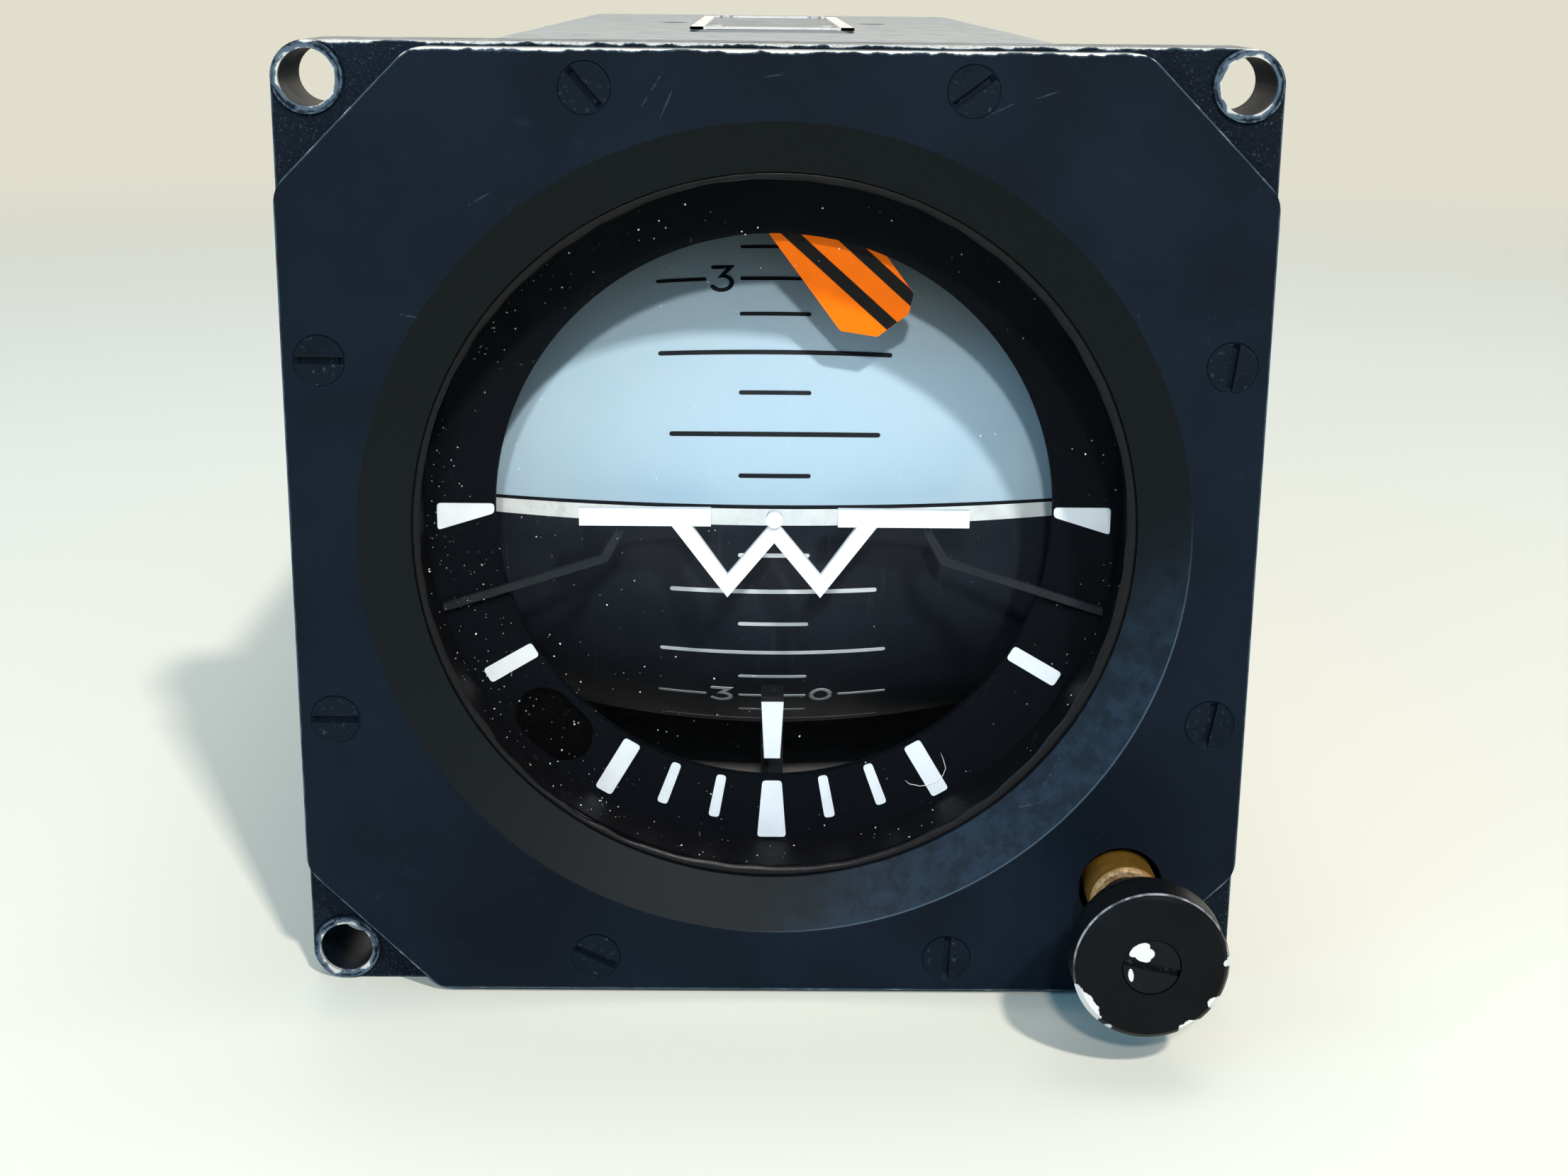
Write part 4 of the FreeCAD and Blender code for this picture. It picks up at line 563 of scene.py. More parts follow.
def band_paint():
    """The white horizon band: off-white, with brown grime and rubbed grey patches."""
    shader = mottled("band_white", (0.66, 0.68, 0.65), 0.6, light=1.08, dark=0.88, patch=0.5,
                     grain=5.0, bump=0.003, Specular_IOR_Level=0.08)
    spot = shader.place()
    grime = shader.ramp(shader.noise(0.45, 5, 0.7, spot), 0.50, 0.74, 0, 0.55)
    leftward = shader.ramp(shader.split(spot)[0], 12.0, -22.0, 0.25, 1.0)
    shader.tint(shader.times(grime, leftward), (0.40, 0.33, 0.24))
    shader.tint(shader.ramp(shader.noise(3.0, 4, 0.7, spot), 0.60, 0.70, 0, 0.45),
                (0.28, 0.27, 0.25))
    return shader.done()


def bush_metal():
    """Dark lacquered brass, rubbed to a pale speckled lip at its front end."""
    shader = mottled("bush_brass", (0.165, 0.078, 0.010), 0.34, light=1.5, dark=0.6, patch=0.35,
                     grain=3.0, metallic=0.35)
    spot = shader.place()
    lip = shader.ramp(shader.split(spot)[1], BUSH_Y + 0.40, BUSH_Y + 0.10)
    specks = shader.ramp(shader.noise(2.6, 5, 0.75, spot), 0.42, 0.58, 0.1, 0.9)
    shader.tint(shader.times(lip, specks), (0.38, 0.27, 0.16))
    shader.gloss(lip, 0.5)
    return shader.done()


def case_finish():
    """Black crackle paint, with a pale patchy tint on whatever faces up: a painted sheen for the
    bright room mirrored in it.
    """
    shader = mottled("case_paint", (0.016, 0.018, 0.022), 0.40, light=1.4, patch=0.05,
                     grain=1.8, Specular_IOR_Level=0.3)
    spot = shader.place()
    # Painted sheen: faces that look up are tinted pale, in patches, for the room's reflection.
    dust_and_sheen = shader.times(upward(shader, 0.60, 0.95),
                           shader.ramp(shader.noise(0.25, 5, 0.7, spot), 0.25, 0.65, 0.5, 0.9))
    shader.tint(dust_and_sheen, (0.48, 0.46, 0.41))
    shader.gloss(dust_and_sheen, 0.7)
    return shader.done()


def pointer_paint():
    """White on the pointer's front leg and black over its fold and rear leg."""
    shader = mottled("pointer_paint", WHITE, 0.5, light=1.05, dark=0.9, patch=0.3,
                     Specular_IOR_Level=0.08)
    x, y, z = shader.split(shader.place())
    black = shader.most(shader.ramp(z, POINTER_TOP - 0.55, POINTER_TOP - 0.45),
                        shader.ramp(y, POINTER_Y + 0.1, POINTER_Y + 0.2))
    shader.tint(black, (0.012, 0.012, 0.013))
    return shader.done()


def metal(name, base, roughness, streak=(1.0, 1.0, 1.0), tarnish=None):
    """Machined metal: fine turning or rolling marks and a dull bloom."""
    shader = Shader(name, base, roughness, 1.0)
    spot = shader.place()
    lines = shader.node("VectorMath", {0: spot, 1: streak}, operation="MULTIPLY").outputs[0]
    shader.lift(shader.noise(4.0, 3, 0.6, lines), 0.006)
    bloom = shader.ramp(shader.noise(0.35, 4, 0.6, spot), 0.4, 0.7)
    shader.tint(bloom, tarnish or [c * 0.72 for c in base])
    shader.gloss(bloom, roughness + 0.15)
    return shader.done()


def glass_material():
    """Clear plate: it mirrors by Fresnel and lets the rest straight through."""
    shader = Shader("window_glass", (1, 1, 1), 0.03, 1.0)
    mirror = shader.node("Fresnel", {"IOR": 1.045}).outputs[0]
    shader.tree.links.new(mirror, shader.bsdf.inputs["Alpha"])
    shader.gloss(shader.ramp(shader.noise(0.08, 4, 0.6), 0.45, 0.75), 0.10)
    return shader.done()


def board_material():
    """Varnished circuit board with pale copper tracks under the lacquer."""
    shader = mottled("board_lacquer", (0.02, 0.10, 0.05), 0.3, patch=0.1)
    spot = shader.place()
    brick = shader.node("TexBrick", {"Vector": spot, "Scale": 0.12, "Mortar Size": 0.02,
                                     "Color1": (0, 0, 0, 1), "Color2": (0, 0, 0, 1),
                                     "Mortar": (1, 1, 1, 1)})
    shader.tint(shader.times(brick.outputs["Fac"], 0.6), (0.06, 0.22, 0.11))
    return shader.done()


MASK_BLACK = mottled("mask_black", (0.0020, 0.0030, 0.0045), 0.65, light=1.3, patch=0.1,
                     grain=1.5, bump=0.001, Specular_IOR_Level=0.04).done()
MARK_WHITE = flat_paint("mark_white", WHITE, amount=0.12)
BAND_WHITE = band_paint()
DUST = flat_paint("dust", (0.70, 0.68, 0.62), 0.8)
LINE_BLACK = flat_paint("line_black", (0.007, 0.009, 0.012), 0.5, (0.05, 0.06, 0.07))
LINE_WHITE = flat_paint("line_white", (0.62, 0.64, 0.64), 0.55, (0.2, 0.2, 0.2), 0.3)
FLAG_ORANGE = flat_paint("flag_orange", (0.98, 0.165, 0.001), 0.45, (0.80, 0.11, 0.001), 0.2)
FLAG_BLACK = flat_paint("flag_black", (0.006, 0.006, 0.006), 0.5, (0.03, 0.03, 0.03))
STEEL = metal("turned_steel", (0.55, 0.55, 0.56), 0.32)
DARK_STEEL = metal("blacked_steel", (0.10, 0.10, 0.11), 0.40)
ALLOY = metal("machined_alloy", (0.72, 0.73, 0.75), 0.36)
BRASS = metal("gear_brass", (0.60, 0.43, 0.17), 0.34, tarnish=(0.40, 0.27, 0.09))
WORN_BRASS = bush_metal()
COPPER = metal("winding_copper", (0.62, 0.30, 0.15), 0.38, streak=(8, 1, 8))
INSULATOR = mottled("black_insulator", (0.025, 0.023, 0.022), 0.45).done()
CASE_PAINT = case_finish()
CASE_PLATE = mottled("case_plate_paint", (0.20, 0.20, 0.19), 0.5, patch=0.08).done()
SEALANT = mottled("sealant_rubber", (0.003, 0.003, 0.004), 0.30, patch=0.6, bump=0.01,
                  Specular_IOR_Level=0.16).done()
SCREW_PAINT = screw_paint()
WINDOW_BLACK = mottled("window_black", (0.0008, 0.0008, 0.0010), 0.6, patch=0.3,
                       Specular_IOR_Level=0.02).done()
WIRE = mottled("wire_grey", (0.011, 0.014, 0.017), 0.5, patch=0.4,
               Specular_IOR_Level=0.15).done()

CAD_FINISH = {
    "front_plate": plate_paint(),
    "mounting_flange": bezel_paint("flange_paint", FLANGE_HALF, LUG_Y, lugs=True).done(),
    "front_plate_screws": SCREW_PAINT, "cover_glass": glass_material(), "glass_seal": SEALANT,
    "dial_mask": MASK_BLACK, "mask_screws": DARK_STEEL, "aircraft_symbol": MARK_WHITE,
    "symbol_wires": WIRE, "bank_pointer": pointer_paint(), "flag_blade": FLAG_ORANGE,
    "case_tube": CASE_PAINT, "rear_cover": CASE_PAINT, "case_screws": DARK_STEEL,
    "rear_cover_screws": STEEL, "connector_shell": ALLOY, "connector_insert": INSULATOR,
    "connector_pins": BRASS, "connector_screws": STEEL, "bearing_housing": ALLOY,
    "roll_bearings": STEEL, "tie_rods": STEEL, "circuit_boards": board_material(),
    "transformer": DARK_STEEL, "capacitors": ALLOY, "brush_block": INSULATOR,
    "roll_torquer_stator": COPPER, "roll_torquer_rotor": DARK_STEEL, "flag_pivot": STEEL,
    "flag_coil": COPPER, "knob_bush": WORN_BRASS, "pull_knob": knob_paint(),
    "knob_screw": knob_screw_paint(), "knob_shaft": STEEL, "pull_arm": STEEL, "pull_rod": STEEL,
    "pocket_cover": ALLOY, "return_spring": STEEL, "fast_erect_switch": INSULATOR,
    "switch_plunger": INSULATOR, "roll_gimbal_frame": MASK_BLACK, "roll_shaft": STEEL,
    "slip_rings": BRASS, "drum_bearings": STEEL, "gimbal_bearings": STEEL,
    "idler_pins": STEEL, "gimbal_gear": BRASS, "rear_idler_gear": BRASS,
    "front_idler_gear": BRASS, "drum_gear": BRASS, "drum_axle": STEEL,
    "drum_end_caps": MASK_BLACK, "gyro_housing": ALLOY, "gyro_covers": ALLOY,
    "trunnions": STEEL, "rotor_bearings": STEEL, "gyro_stator": COPPER,
    "gyro_rotor": DARK_STEEL,
    "drum_sky": drum_finish("drum_sky_paint", (0.375, 0.495, 0.560), (0.345, 0.475, 0.550),
                            (0.42, 0.525, 0.585), 0.62),
    "drum_ground": drum_finish("drum_ground_paint", (0.0100, 0.0128, 0.0190),
                               (0.0175, 0.0205, 0.0290), (0.040, 0.043, 0.054), 0.5, 0.35),
}

for name, node in nodes.items():
    node.data.materials.clear()
    node.data.materials.append(CAD_FINISH[name])


# --- Marks on the fixed mask ----------------------------------------------------------------

MARK_THICK = 0.06
WINDOW_MIDDLE = (-20.22, -20.22)          # the mask's oblong window, which slants upwards left
WINDOW_RADIUS, WINDOW_REACH = 2.66, 1.3   # its round ends, and their distance from the middle
PANE_FRONT, PANE_BACK = 0.35, 0.95        # the pane's depth behind the mask's face
# Angle from straight down, inner and outer radius, inner and outer half width of each bar.
BANK_BARS = ((59.4, 25.35, 30.5, 0.72, 0.75), (30.6, 25.4, 31.0, 0.85, 0.85),
             (20.3, 25.5, 29.7, 0.45, 0.5), (10.6, 25.5, 29.7, 0.45, 0.5))


def radial_bar(degrees, inner, outer, inner_half, outer_half):
    """A bar on the mask, its angle counted from straight down, positive to the right."""
    turn = degrees * DEG
    along = Vector((math.sin(turn), -math.cos(turn)))
    across = Vector((math.cos(turn), math.sin(turn)))
    corners = [along * inner - across * inner_half, along * outer - across * outer_half,
               along * outer + across * outer_half, along * inner + across * inner_half]
    return [tuple(corner) for corner in corners]


def bank_marks():
    bm = bmesh.new()
    bars = [radial_bar(0, 25.6, 31.2, 0.9, 1.35)]
    for side in (-1, 1):
        bars.append([(25.25 * side, -0.1), (30.4 * side, -1.7), (30.4 * side, 0.8),
                     (25.25 * side, 0.8)])
        bars += [radial_bar(degrees * side, *sizes) for degrees, *sizes in BANK_BARS]
    for bar in bars:
        prism(bm, rounded(bar, 0.35), facing, MASK_Y - MARK_THICK, MASK_Y)
    finish_piece("bank_marks", bm, "root", MARK_WHITE)


def window_lens():
    """Black pane in the mask's small oblong window."""
    centre = Vector(WINDOW_MIDDLE)
    along = Vector((-1, 1)).normalized()
    across = Vector((1, 1)).normalized()
    outline = []
    for end, start in ((WINDOW_REACH, -90), (-WINDOW_REACH, 90)):
        for step in range(13):
            turn = (start + step * 15) * DEG
            spot = (centre + along * (end + WINDOW_RADIUS * math.cos(turn))
                    + across * (WINDOW_RADIUS * math.sin(turn)))
            outline.append(tuple(spot))
    bm = bmesh.new()
    prism(bm, outline, facing, MASK_Y + PANE_FRONT, MASK_Y + PANE_BACK)
    finish_piece("window_lens", bm, "root", WINDOW_BLACK)


# --- Horizon drum markings ------------------------------------------------------------------

LINE_LIFT, LINE_SINK = 0.035, 0.05        # how far a line stands out of and into the drum
LINE_WIDTH, EDGE_WIDTH = 0.40, 0.36
PITCH_TO_DRUM = 1.5                       # drum degrees for one degree of pitch
BAND_MIDDLE, BAND_LOW = -1.75, -3.4       # drum angles of level flight and the band's foot
BAND_TOP = -0.16                          # the band's upper edge, along the drum


def on_drum(x, angle, lift):
    """A point on the barrel: x across, angle up from its foremost line in degrees."""
    radius = DRUM_RADIUS - (DRUM_BARREL - math.sqrt(DRUM_BARREL ** 2 - x * x)) + lift
    return x, DRUM_Y - radius * math.cos(angle * DEG), radius * math.sin(angle * DEG)


def drum_ribbon(bm, path, width, round_ends=True):
    """A painted stroke along a path of (x, height) measured on the drum's surface."""
    fine = [path[0]]
    for start, end in zip(path, path[1:]):
        gap = math.dist(start, end)
        steps = max(1, math.ceil(gap / 0.9))
        fine += [(start[0] + (end[0] - start[0]) * s / steps,
                  start[1] + (end[1] - start[1]) * s / steps) for s in range(1, steps + 1)]
    sections = []

    def section(here, across):
        to_angle = 1 / (DRUM_RADIUS * DEG)
        left, right = here + across, here - across
        sections.append([on_drum(left.x, left.y * to_angle, LINE_LIFT),
                         on_drum(right.x, right.y * to_angle, LINE_LIFT),
                         on_drum(right.x, right.y * to_angle, -LINE_SINK),
                         on_drum(left.x, left.y * to_angle, -LINE_SINK)])

    def cap(here, heading, order):
        across = Vector((-heading.y, heading.x))
        for turn in order:
            section(here + heading * (width / 2 * math.cos(turn * DEG)),
                    across * (width / 2 * math.sin(abs(turn) * DEG)))

    for index, point in enumerate(fine):
        here = Vector(point)
        into = (here - Vector(fine[index - 1])) if index else Vector((0, 0))
        out = (Vector(fine[index + 1]) - here) if index + 1 < len(fine) else Vector((0, 0))
        heading = (into.normalized() + out.normalized()).normalized()
        across = Vector((-heading.y, heading.x))
        bend = abs(heading.dot((out if out.length else into).normalized()))
        if round_ends and not index:
            cap(here, heading, (170, 145, 120))
        section(here, across * (width / 2 / max(bend, 0.5)))
        if round_ends and index + 1 == len(fine):
            cap(here, heading, (60, 35, 10))
    sweep(bm, sections)


def arc_path(cx, cy, rx, ry, start, end, steps=14):
    return [(cx + rx * math.cos((start + (end - start) * s / steps) * DEG),
             cy + ry * math.sin((start + (end - start) * s / steps) * DEG))
            for s in range(steps + 1)]


def digit_three(cx, cy):
    """Flat-topped three."""
    top = [(-0.85, 1.35), (0.80, 1.35), (-0.05, 0.32)]
    bowl = arc_path(-0.05, -0.46, 0.95, 0.80, 82, -150)
    return [(cx + x, cy + y) for x, y in top + bowl]


def digit_zero(cx, cy, split):
    """A whole nought, or one stencilled in two halves."""
    if split:
        return [arc_path(cx, cy, 0.92, 1.15, 14, 166), arc_path(cx, cy, 0.92, 1.15, 194, 346)]
    return [arc_path(cx, cy, 0.92, 1.32, 0, 362, 24)]


def digit_six(cx, cy):
    return [arc_path(cx, cy - 0.46, 0.90, 0.82, 150, 510, 22),
            [(cx - 0.80, cy - 0.15), (cx - 0.35, cy + 0.75), (cx + 0.35, cy + 1.35)]]


LONG_HALF = {10: 9.4, 20: 10.5, 40: 10.5, 50: 10.5, 70: 9.4, 80: 9.4}
SHORT_HALF = 3.1
NUMBERED_FROM, NUMBERED_TO = 6.6, 10.9    # the outer strokes of a line that has a number
THREE, SIX = 30, 60                       # the pitch of the lines that have a number
TENS_X, NOUGHT_X = -4.95, 4.75


def pitch_lines(bm, sign):
    """All the lines and numbers of one side of the horizon, up or down."""
    for pitch in range(5, 90, 5):
        angle = BAND_MIDDLE + PITCH_TO_DRUM * pitch * sign
        height = angle * DEG * DRUM_RADIUS
        reach = LONG_HALF.get(pitch, SHORT_HALF)
        width = LINE_WIDTH * 1.1 if pitch in LONG_HALF else LINE_WIDTH
        drum_ribbon(bm, [(-reach, height), (reach, height)], width)
        if pitch not in (THREE, SIX):
            continue
        for side in (-1, 1):
            drum_ribbon(bm, [(NUMBERED_FROM * side, height), (NUMBERED_TO * side, height)],
                        LINE_WIDTH)
        strokes = digit_zero(NOUGHT_X, height, sign < 0)
        strokes += ([digit_three(TENS_X, height)] if pitch == THREE
                    else digit_six(TENS_X, height))
        for stroke in strokes:
            drum_ribbon(bm, stroke, LINE_WIDTH * 1.05)


def drum_markings():
    reach = DRUM_HALF - 0.4
    bm = bmesh.new()
    pitch_lines(bm, 1)
    drum_ribbon(bm, [(-reach, 0.02), (reach, 0.02)], EDGE_WIDTH, False)
    finish_piece("sky_lines", bm, "pitch_drum", LINE_BLACK)
    bm = bmesh.new()
    pitch_lines(bm, -1)
    finish_piece("ground_lines", bm, "pitch_drum", LINE_WHITE)
    bm = bmesh.new()
    foot = BAND_LOW * DEG * DRUM_RADIUS
    height = (foot + BAND_TOP) / 2
    drum_ribbon(bm, [(-reach, height), (reach, height)], BAND_TOP - foot, False)
    finish_piece("horizon_band", bm, "pitch_drum", BAND_WHITE)


# --- Flag stripes ---------------------------------------------------------------------------

# The blade's outline from its pivot, along the blade and across it.
BLADE = ((5.0, 3.58), (5.0, -3.58), (19.0, -3.58), (21.38, -1.26), (21.38, 2.16), (20.2, 3.58))
STRIPE_SPOTS = ((1.1, 25.1), (6.1, 24.6))
STRIPE_HALF, STRIPE_THICK = 0.56, 0.03


def flag_stripes():
    """Two black stripes that cross the blade at a slant."""
    along, across = Vector((0.6, -0.8)), Vector((0.8, 0.6))
    border = [Vector(FLAG_PIVOT) + along * far + across * aside for far, aside in BLADE]
    heading = Vector((0.748, -0.663)).normalized()
    edge = Vector((-heading.y, heading.x)) * STRIPE_HALF
    bm = bmesh.new()
    for spot in STRIPE_SPOTS:
        start, end = Vector(spot) - heading * 12, Vector(spot) + heading * 20
        kept = clip([start - edge, end - edge, end + edge, start + edge], border)
        prism(bm, kept, facing, FLAG_Y - STRIPE_THICK, FLAG_Y)
    finish_piece("flag_stripes", bm, "flag", FLAG_BLACK)


# --- Sealant, dust, the bare plate and the spring -------------------------------------------

BEAD_STEPS, BEAD_CORNERS = 320, 8
BEAD_SIZE, BEAD_DEPTH = 0.42, 0.27


def seal_bead():
    """Uneven bead of sealant squeezed out where the glass meets the bezel."""
    rng = random.Random(7)
    bumps = [(rng.uniform(0.03, 0.13), rng.randint(3, 60), rng.uniform(0, 2 * math.pi))
             for _ in range(9)]
    sections = []
    for step in range(BEAD_STEPS):
        turn = 2 * math.pi * step / BEAD_STEPS
        swell = BEAD_SIZE + 0.35 * sum(a * math.sin(k * turn + p) for a, k, p in bumps)
        swell += 0.16 * max(0.0, math.cos(turn + 15 * DEG))
        ring = []
        for corner in range(BEAD_CORNERS):
            angle = 2 * math.pi * corner / BEAD_CORNERS
            radius = BEVEL_INNER - 0.05 - swell * 0.55 + swell * math.cos(angle)
            ring.append((radius * math.cos(turn),
                         SIGHT_Y - 0.02 + BEAD_DEPTH * math.sin(angle),
                         radius * math.sin(turn)))
        sections.append(ring)
    bm = bmesh.new()
    sweep(bm, sections, closed=True)
    finish_piece("seal_bead", bm, "root", SEALANT, smooth=60)


SPECKS, SPECK_THICK = 520, 0.03
DUST_REACH = 30.3                         # radius of the glass that shows


def dust():
    """Specks of pale dust on the glass, thickest near its rim and lower left."""
    rng = random.Random(11)
    bm = bmesh.new()
    made = 0
    while made < SPECKS:
        radius = DUST_REACH * math.sqrt(rng.random())
        turn = rng.uniform(0, 2 * math.pi)
        x, z = radius * math.cos(turn), radius * math.sin(turn)
        rim = (radius / DUST_REACH) ** 8
        left = max(0.0, -x / DUST_REACH)
        lower_left = max(0.0, -(x + z) / 43) ** 1.5
        if rng.random() > 0.03 + rim * (0.18 + 0.75 * left) + 0.22 * lower_left:
            continue
        made += 1
        grain = 0.018 + 0.045 * rng.random() ** 3
        tilt = rng.uniform(0, math.pi)
        stretch = rng.uniform(0.6, 1.8)
        outline = []
        for corner in range(6):
            angle = math.pi * corner / 3
            u, v = grain * stretch * math.cos(angle), grain * math.sin(angle)
            outline.append((x + u * math.cos(tilt) - v * math.sin(tilt),
                            z + u * math.sin(tilt) + v * math.cos(tilt)))
        prism(bm, outline, facing, GLASS_Y - SPECK_THICK, GLASS_Y)
    finish_piece("glass_dust", bm, "root", DUST)


HAIR = ((15.68, -22.72), (15.96, -23.41), (16.19, -24.25), (15.94, -24.96), (15.43, -25.53),
        (14.84, -25.81), (14.31, -25.96), (13.78, -26.03), (13.32, -25.89), (12.85, -25.82),
        (12.44, -25.47))
HAIR_HALF, HAIR_TIP = 0.035, 0.015


def fibre():
    """One curled hair that lies on the mask across a bank mark."""
    last = len(HAIR) - 1
    height = MASK_Y - MARK_THICK - 0.05
    sections = []
    for index, (x, z) in enumerate(HAIR):
        before, after = HAIR[max(index - 1, 0)], HAIR[min(index + 1, last)]
        heading = Vector((after[0] - before[0], after[1] - before[1])).normalized()
        half = HAIR_HALF if 0 < index < last else HAIR_TIP
        sections.append([(x - heading.y * half * math.cos(turn * DEG),
                          height + half * math.sin(turn * DEG),
                          z + heading.x * half * math.cos(turn * DEG))
                         for turn in range(0, 360, 60)])
    bm = bmesh.new()
    sweep(bm, sections)
    finish_piece("fibre", bm, "root", DUST, smooth=80)


def box_outline(left, right, front, back):
    return [(left, front), (right, front), (right, back), (left, back)]


def case_plate():
    """Blank data plate on top of the case: a bright raised border and four rivets."""
    left, right, front, back = -10.0, 9.5, 76.0, 150.0
    border, rivet = 1.6, 1.0

    def lying(u, v, height):
        return u, v, height

    bm = bmesh.new()
    prism(bm, rounded(box_outline(left, right, front, back), 2.0), lying,
          CASE_TOP + 0.35, CASE_TOP - 0.05)
    finish_piece("case_plate", bm, "root", CASE_PLATE)
    bm = bmesh.new()
    for sides in ((left, right, front, front + border), (left, right, back - border, back),
                  (left, left + border, front, back), (right - border, right, front, back)):
        prism(bm, box_outline(*sides), lying, CASE_TOP + 0.6, CASE_TOP + 0.3)
    for x in (left + 3.2, right - 3.2):
        for y in (front + 3.4, back - 3.4):
            circle = [(x + rivet * math.cos(t * math.pi / 6),
                       y + rivet * math.sin(t * math.pi / 6)) for t in range(12)]
            prism(bm, circle, lying, CASE_TOP + 0.75, CASE_TOP + 0.3)
    finish_piece("case_plate_border", bm, "root", ALLOY)


def return_spring():
    """Coil round the pull rod, drawn at one fixed length in place of the CAD spring, which is
    hidden.
    """
    wire, turns, steps = 0.5, 6, 36
    front, back = low("return_spring", 1), high("return_spring", 1)
    x, z = middle("return_spring", 0), middle("return_spring", 2)
    radius = (high("return_spring", 0) - low("return_spring", 0) - wire) / 2
    sections = []
    for step in range(turns * steps + 1):
        turn = 2 * math.pi * step / steps
        along = front + wire / 2 + (back - front - wire) * step / (turns * steps)
        ring = []
        for out, lengthwise in ((-1, -1), (1, -1), (1, 1), (-1, 1)):
            reach = radius + out * wire / 2
            ring.append((x + reach * math.cos(turn), along + lengthwise * wire / 2,
                         z - reach * math.sin(turn)))
        sections.append(ring)
    bm = bmesh.new()
    sweep(bm, sections)
    coil = finish_piece("return_spring_coil", bm, "root", STEEL)
    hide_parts("return_spring")
    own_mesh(coil)


return_spring()
bank_marks()
window_lens()
drum_markings()
flag_stripes()
seal_bead()
dust()
fibre()
case_plate()


# --- Floor, light and camera ----------------------------------------------------------------

BACKDROP = (0.755, 0.730, 0.610)
SKY_GLOW, SKY_STRENGTH = (0.20, 0.56, 1.0), 0.36      # what the object gets from the world
SEEN_RAYS = ("Is Camera Ray", "Is Glossy Ray", "Is Transmission Ray")
FLOOR_HALF = 4.0                                      # metres
FLOOR_NEAR, FLOOR_FAR = 260, 900                      # where it melts into the backdrop


def floor():
    """Pale table that melts into the backdrop with distance."""
    mesh = bpy.data.meshes.new("floor")
    spots = box_outline(-FLOOR_HALF, FLOOR_HALF, -FLOOR_HALF, FLOOR_HALF)
    mesh.from_pydata([(x, y, FLOOR_Z * MM) for x, y in spots], [], [(0, 1, 2, 3)])
    plane = bpy.data.objects.new("floor", mesh)
    bpy.context.scene.collection.objects.link(plane)
    shader = Shader("floor_pale", (0.850, 0.790, 0.640), 0.65, Specular_IOR_Level=0.2)
    spot = shader.place()
    shader.tint(shader.ramp(shader.noise(0.004, 3, 0.5, spot), 0.3, 0.7, 0, 0.3),
                (0.820, 0.760, 0.610))
    distance = shader.node("VectorMath", {0: spot}, operation="LENGTH").outputs["Value"]
    rays = shader.node("LightPath").outputs
    seen = shader.most(*[rays[kind] for kind in SEEN_RAYS])
    far = shader.times(shader.ramp(distance, FLOOR_NEAR, FLOOR_FAR), seen)
    glow = shader.node("Emission", {"Color": (*BACKDROP, 1), "Strength": 1.0})
    blend = shader.node("MixShader", {0: far, 1: shader.bsdf.outputs[0], 2: glow.outputs[0]})
    material = shader.done()
    shader.tree.links.new(blend.outputs[0], shader.tree.nodes["Material Output"].inputs[0])
    plane.data.materials.append(material)


def world():
    scene = bpy.context.scene
    scene.world = bpy.data.worlds.new("studio")
    scene.world.use_nodes = True
    tree = scene.world.node_tree
    back = tree.nodes["Background"]
    back.inputs["Color"].default_value = (*SKY_GLOW, 1)
    back.inputs["Strength"].default_value = SKY_STRENGTH
    seen = tree.nodes.new("ShaderNodeBackground")
    seen.inputs["Color"].default_value = (*BACKDROP, 1)
    seen.inputs["Strength"].default_value = 1.0
    rays = tree.nodes.new("ShaderNodeLightPath").outputs
    seen_by = rays[SEEN_RAYS[0]]
    for kind in SEEN_RAYS[1:]:
        either = tree.nodes.new("ShaderNodeMath")
        either.operation = "MAXIMUM"
        tree.links.new(seen_by, either.inputs[0])
        tree.links.new(rays[kind], either.inputs[1])
        seen_by = either.outputs[0]
    choose = tree.nodes.new("ShaderNodeMixShader")
    tree.links.new(seen_by, choose.inputs[0])
    tree.links.new(back.outputs[0], choose.inputs[1])
    tree.links.new(seen.outputs[0], choose.inputs[2])
    tree.links.new(choose.outputs[0], tree.nodes["World Output"].inputs["Surface"])


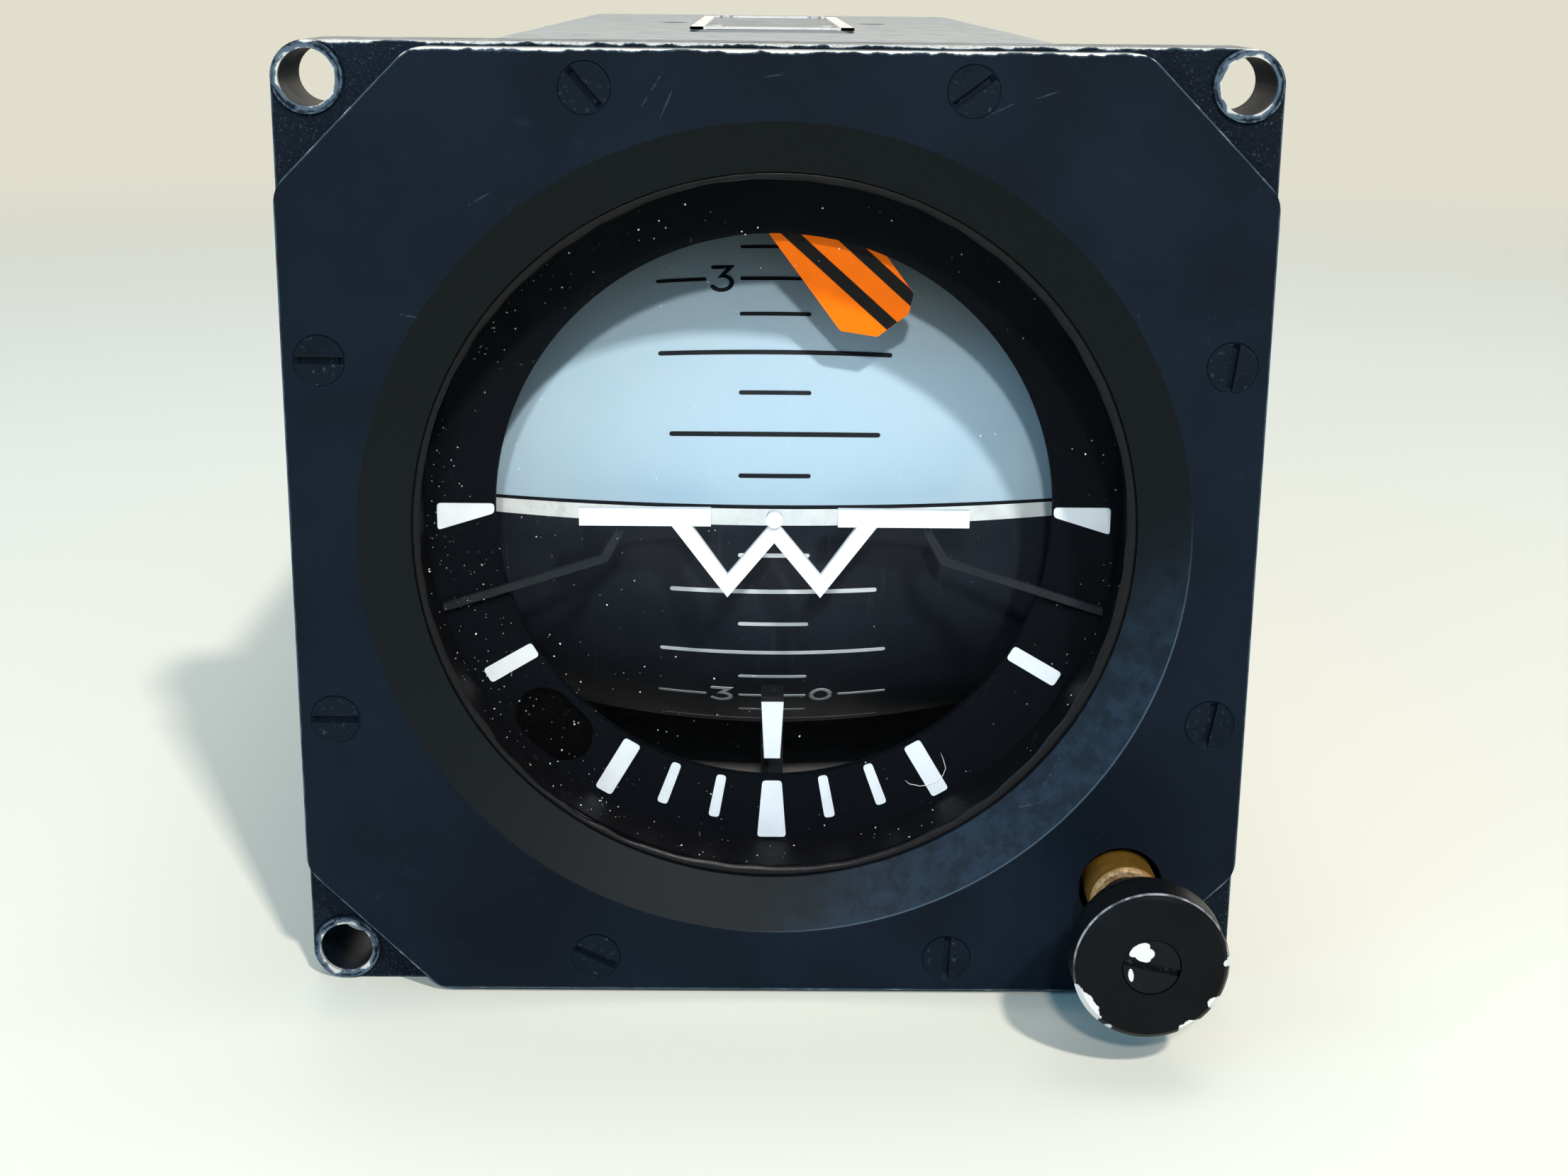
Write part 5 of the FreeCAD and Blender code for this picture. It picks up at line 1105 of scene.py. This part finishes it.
# Name, place and aim in metres, width and height, watts and colour of each lamp.
LAMPS = (
    ("key", (0.31, -0.82, 0.80), (0, 0, 0), (0.06, 0.06), 10.4, (1, 1, 1)),
    ("front", (0.0, -0.94, 0.56), (0, 0, 0), (0.06, 0.06), 5.2, (1, 1, 1)),
    ("side", (-0.9, -0.6, 0.45), (0, 0, 0), (0.7, 0.7), 4.4, (0.22, 0.60, 1.0)),
    ("above", (0.1, 0.3, 1.2), (0, 0, 0), (0.9, 0.6), 5.5, (1.0, 0.97, 0.92)),
    ("behind", (0.0, 2.0, 0.45), (0, 0, 0), (3.0, 0.9), 7.0, (1.0, 0.97, 0.92)),
)


def area_light(name, place, target, size, power, color):
    lamp = bpy.data.lights.new(name, "AREA")
    lamp.shape = "RECTANGLE"
    lamp.size, lamp.size_y = size
    lamp.energy = power
    lamp.color = color
    holder = bpy.data.objects.new(name, lamp)
    bpy.context.scene.collection.objects.link(holder)
    holder.location = place
    holder.rotation_euler = (Vector(target) - Vector(place)).to_track_quat("-Z", "Y").to_euler()
    holder.visible_camera = False


CAMERA_PLACE = (-0.00134, -0.1929, 0.0469)            # metres
CAMERA_YAW, CAMERA_PITCH, CAMERA_ROLL = 0.65, 15.56, -0.41
LENS, SENSOR = 50.55, 36


def camera():
    data = bpy.data.cameras.new("camera")
    data.sensor_width = SENSOR
    data.lens = LENS
    holder = bpy.data.objects.new("camera", data)
    bpy.context.scene.collection.objects.link(holder)
    holder.location = CAMERA_PLACE
    yaw, pitch, roll = CAMERA_YAW * DEG, CAMERA_PITCH * DEG, CAMERA_ROLL * DEG
    turn = (Matrix.Rotation(roll, 4, "Z") @ Matrix.Rotation(yaw, 4, "Y")
            @ Matrix.Rotation(pitch, 4, "X"))
    to_row = Matrix(((1, 0, 0, 0), (0, 0, -1, 0), (0, 1, 0, 0), (0, 0, 0, 1)))
    holder.rotation_euler = (to_row @ turn.transposed()).to_euler()
    data.clip_start = 0.01
    bpy.context.scene.camera = holder


floor()
world()
for lamp_row in LAMPS:
    area_light(*lamp_row)
camera()

bpy.context.scene.view_settings.view_transform = "Standard"
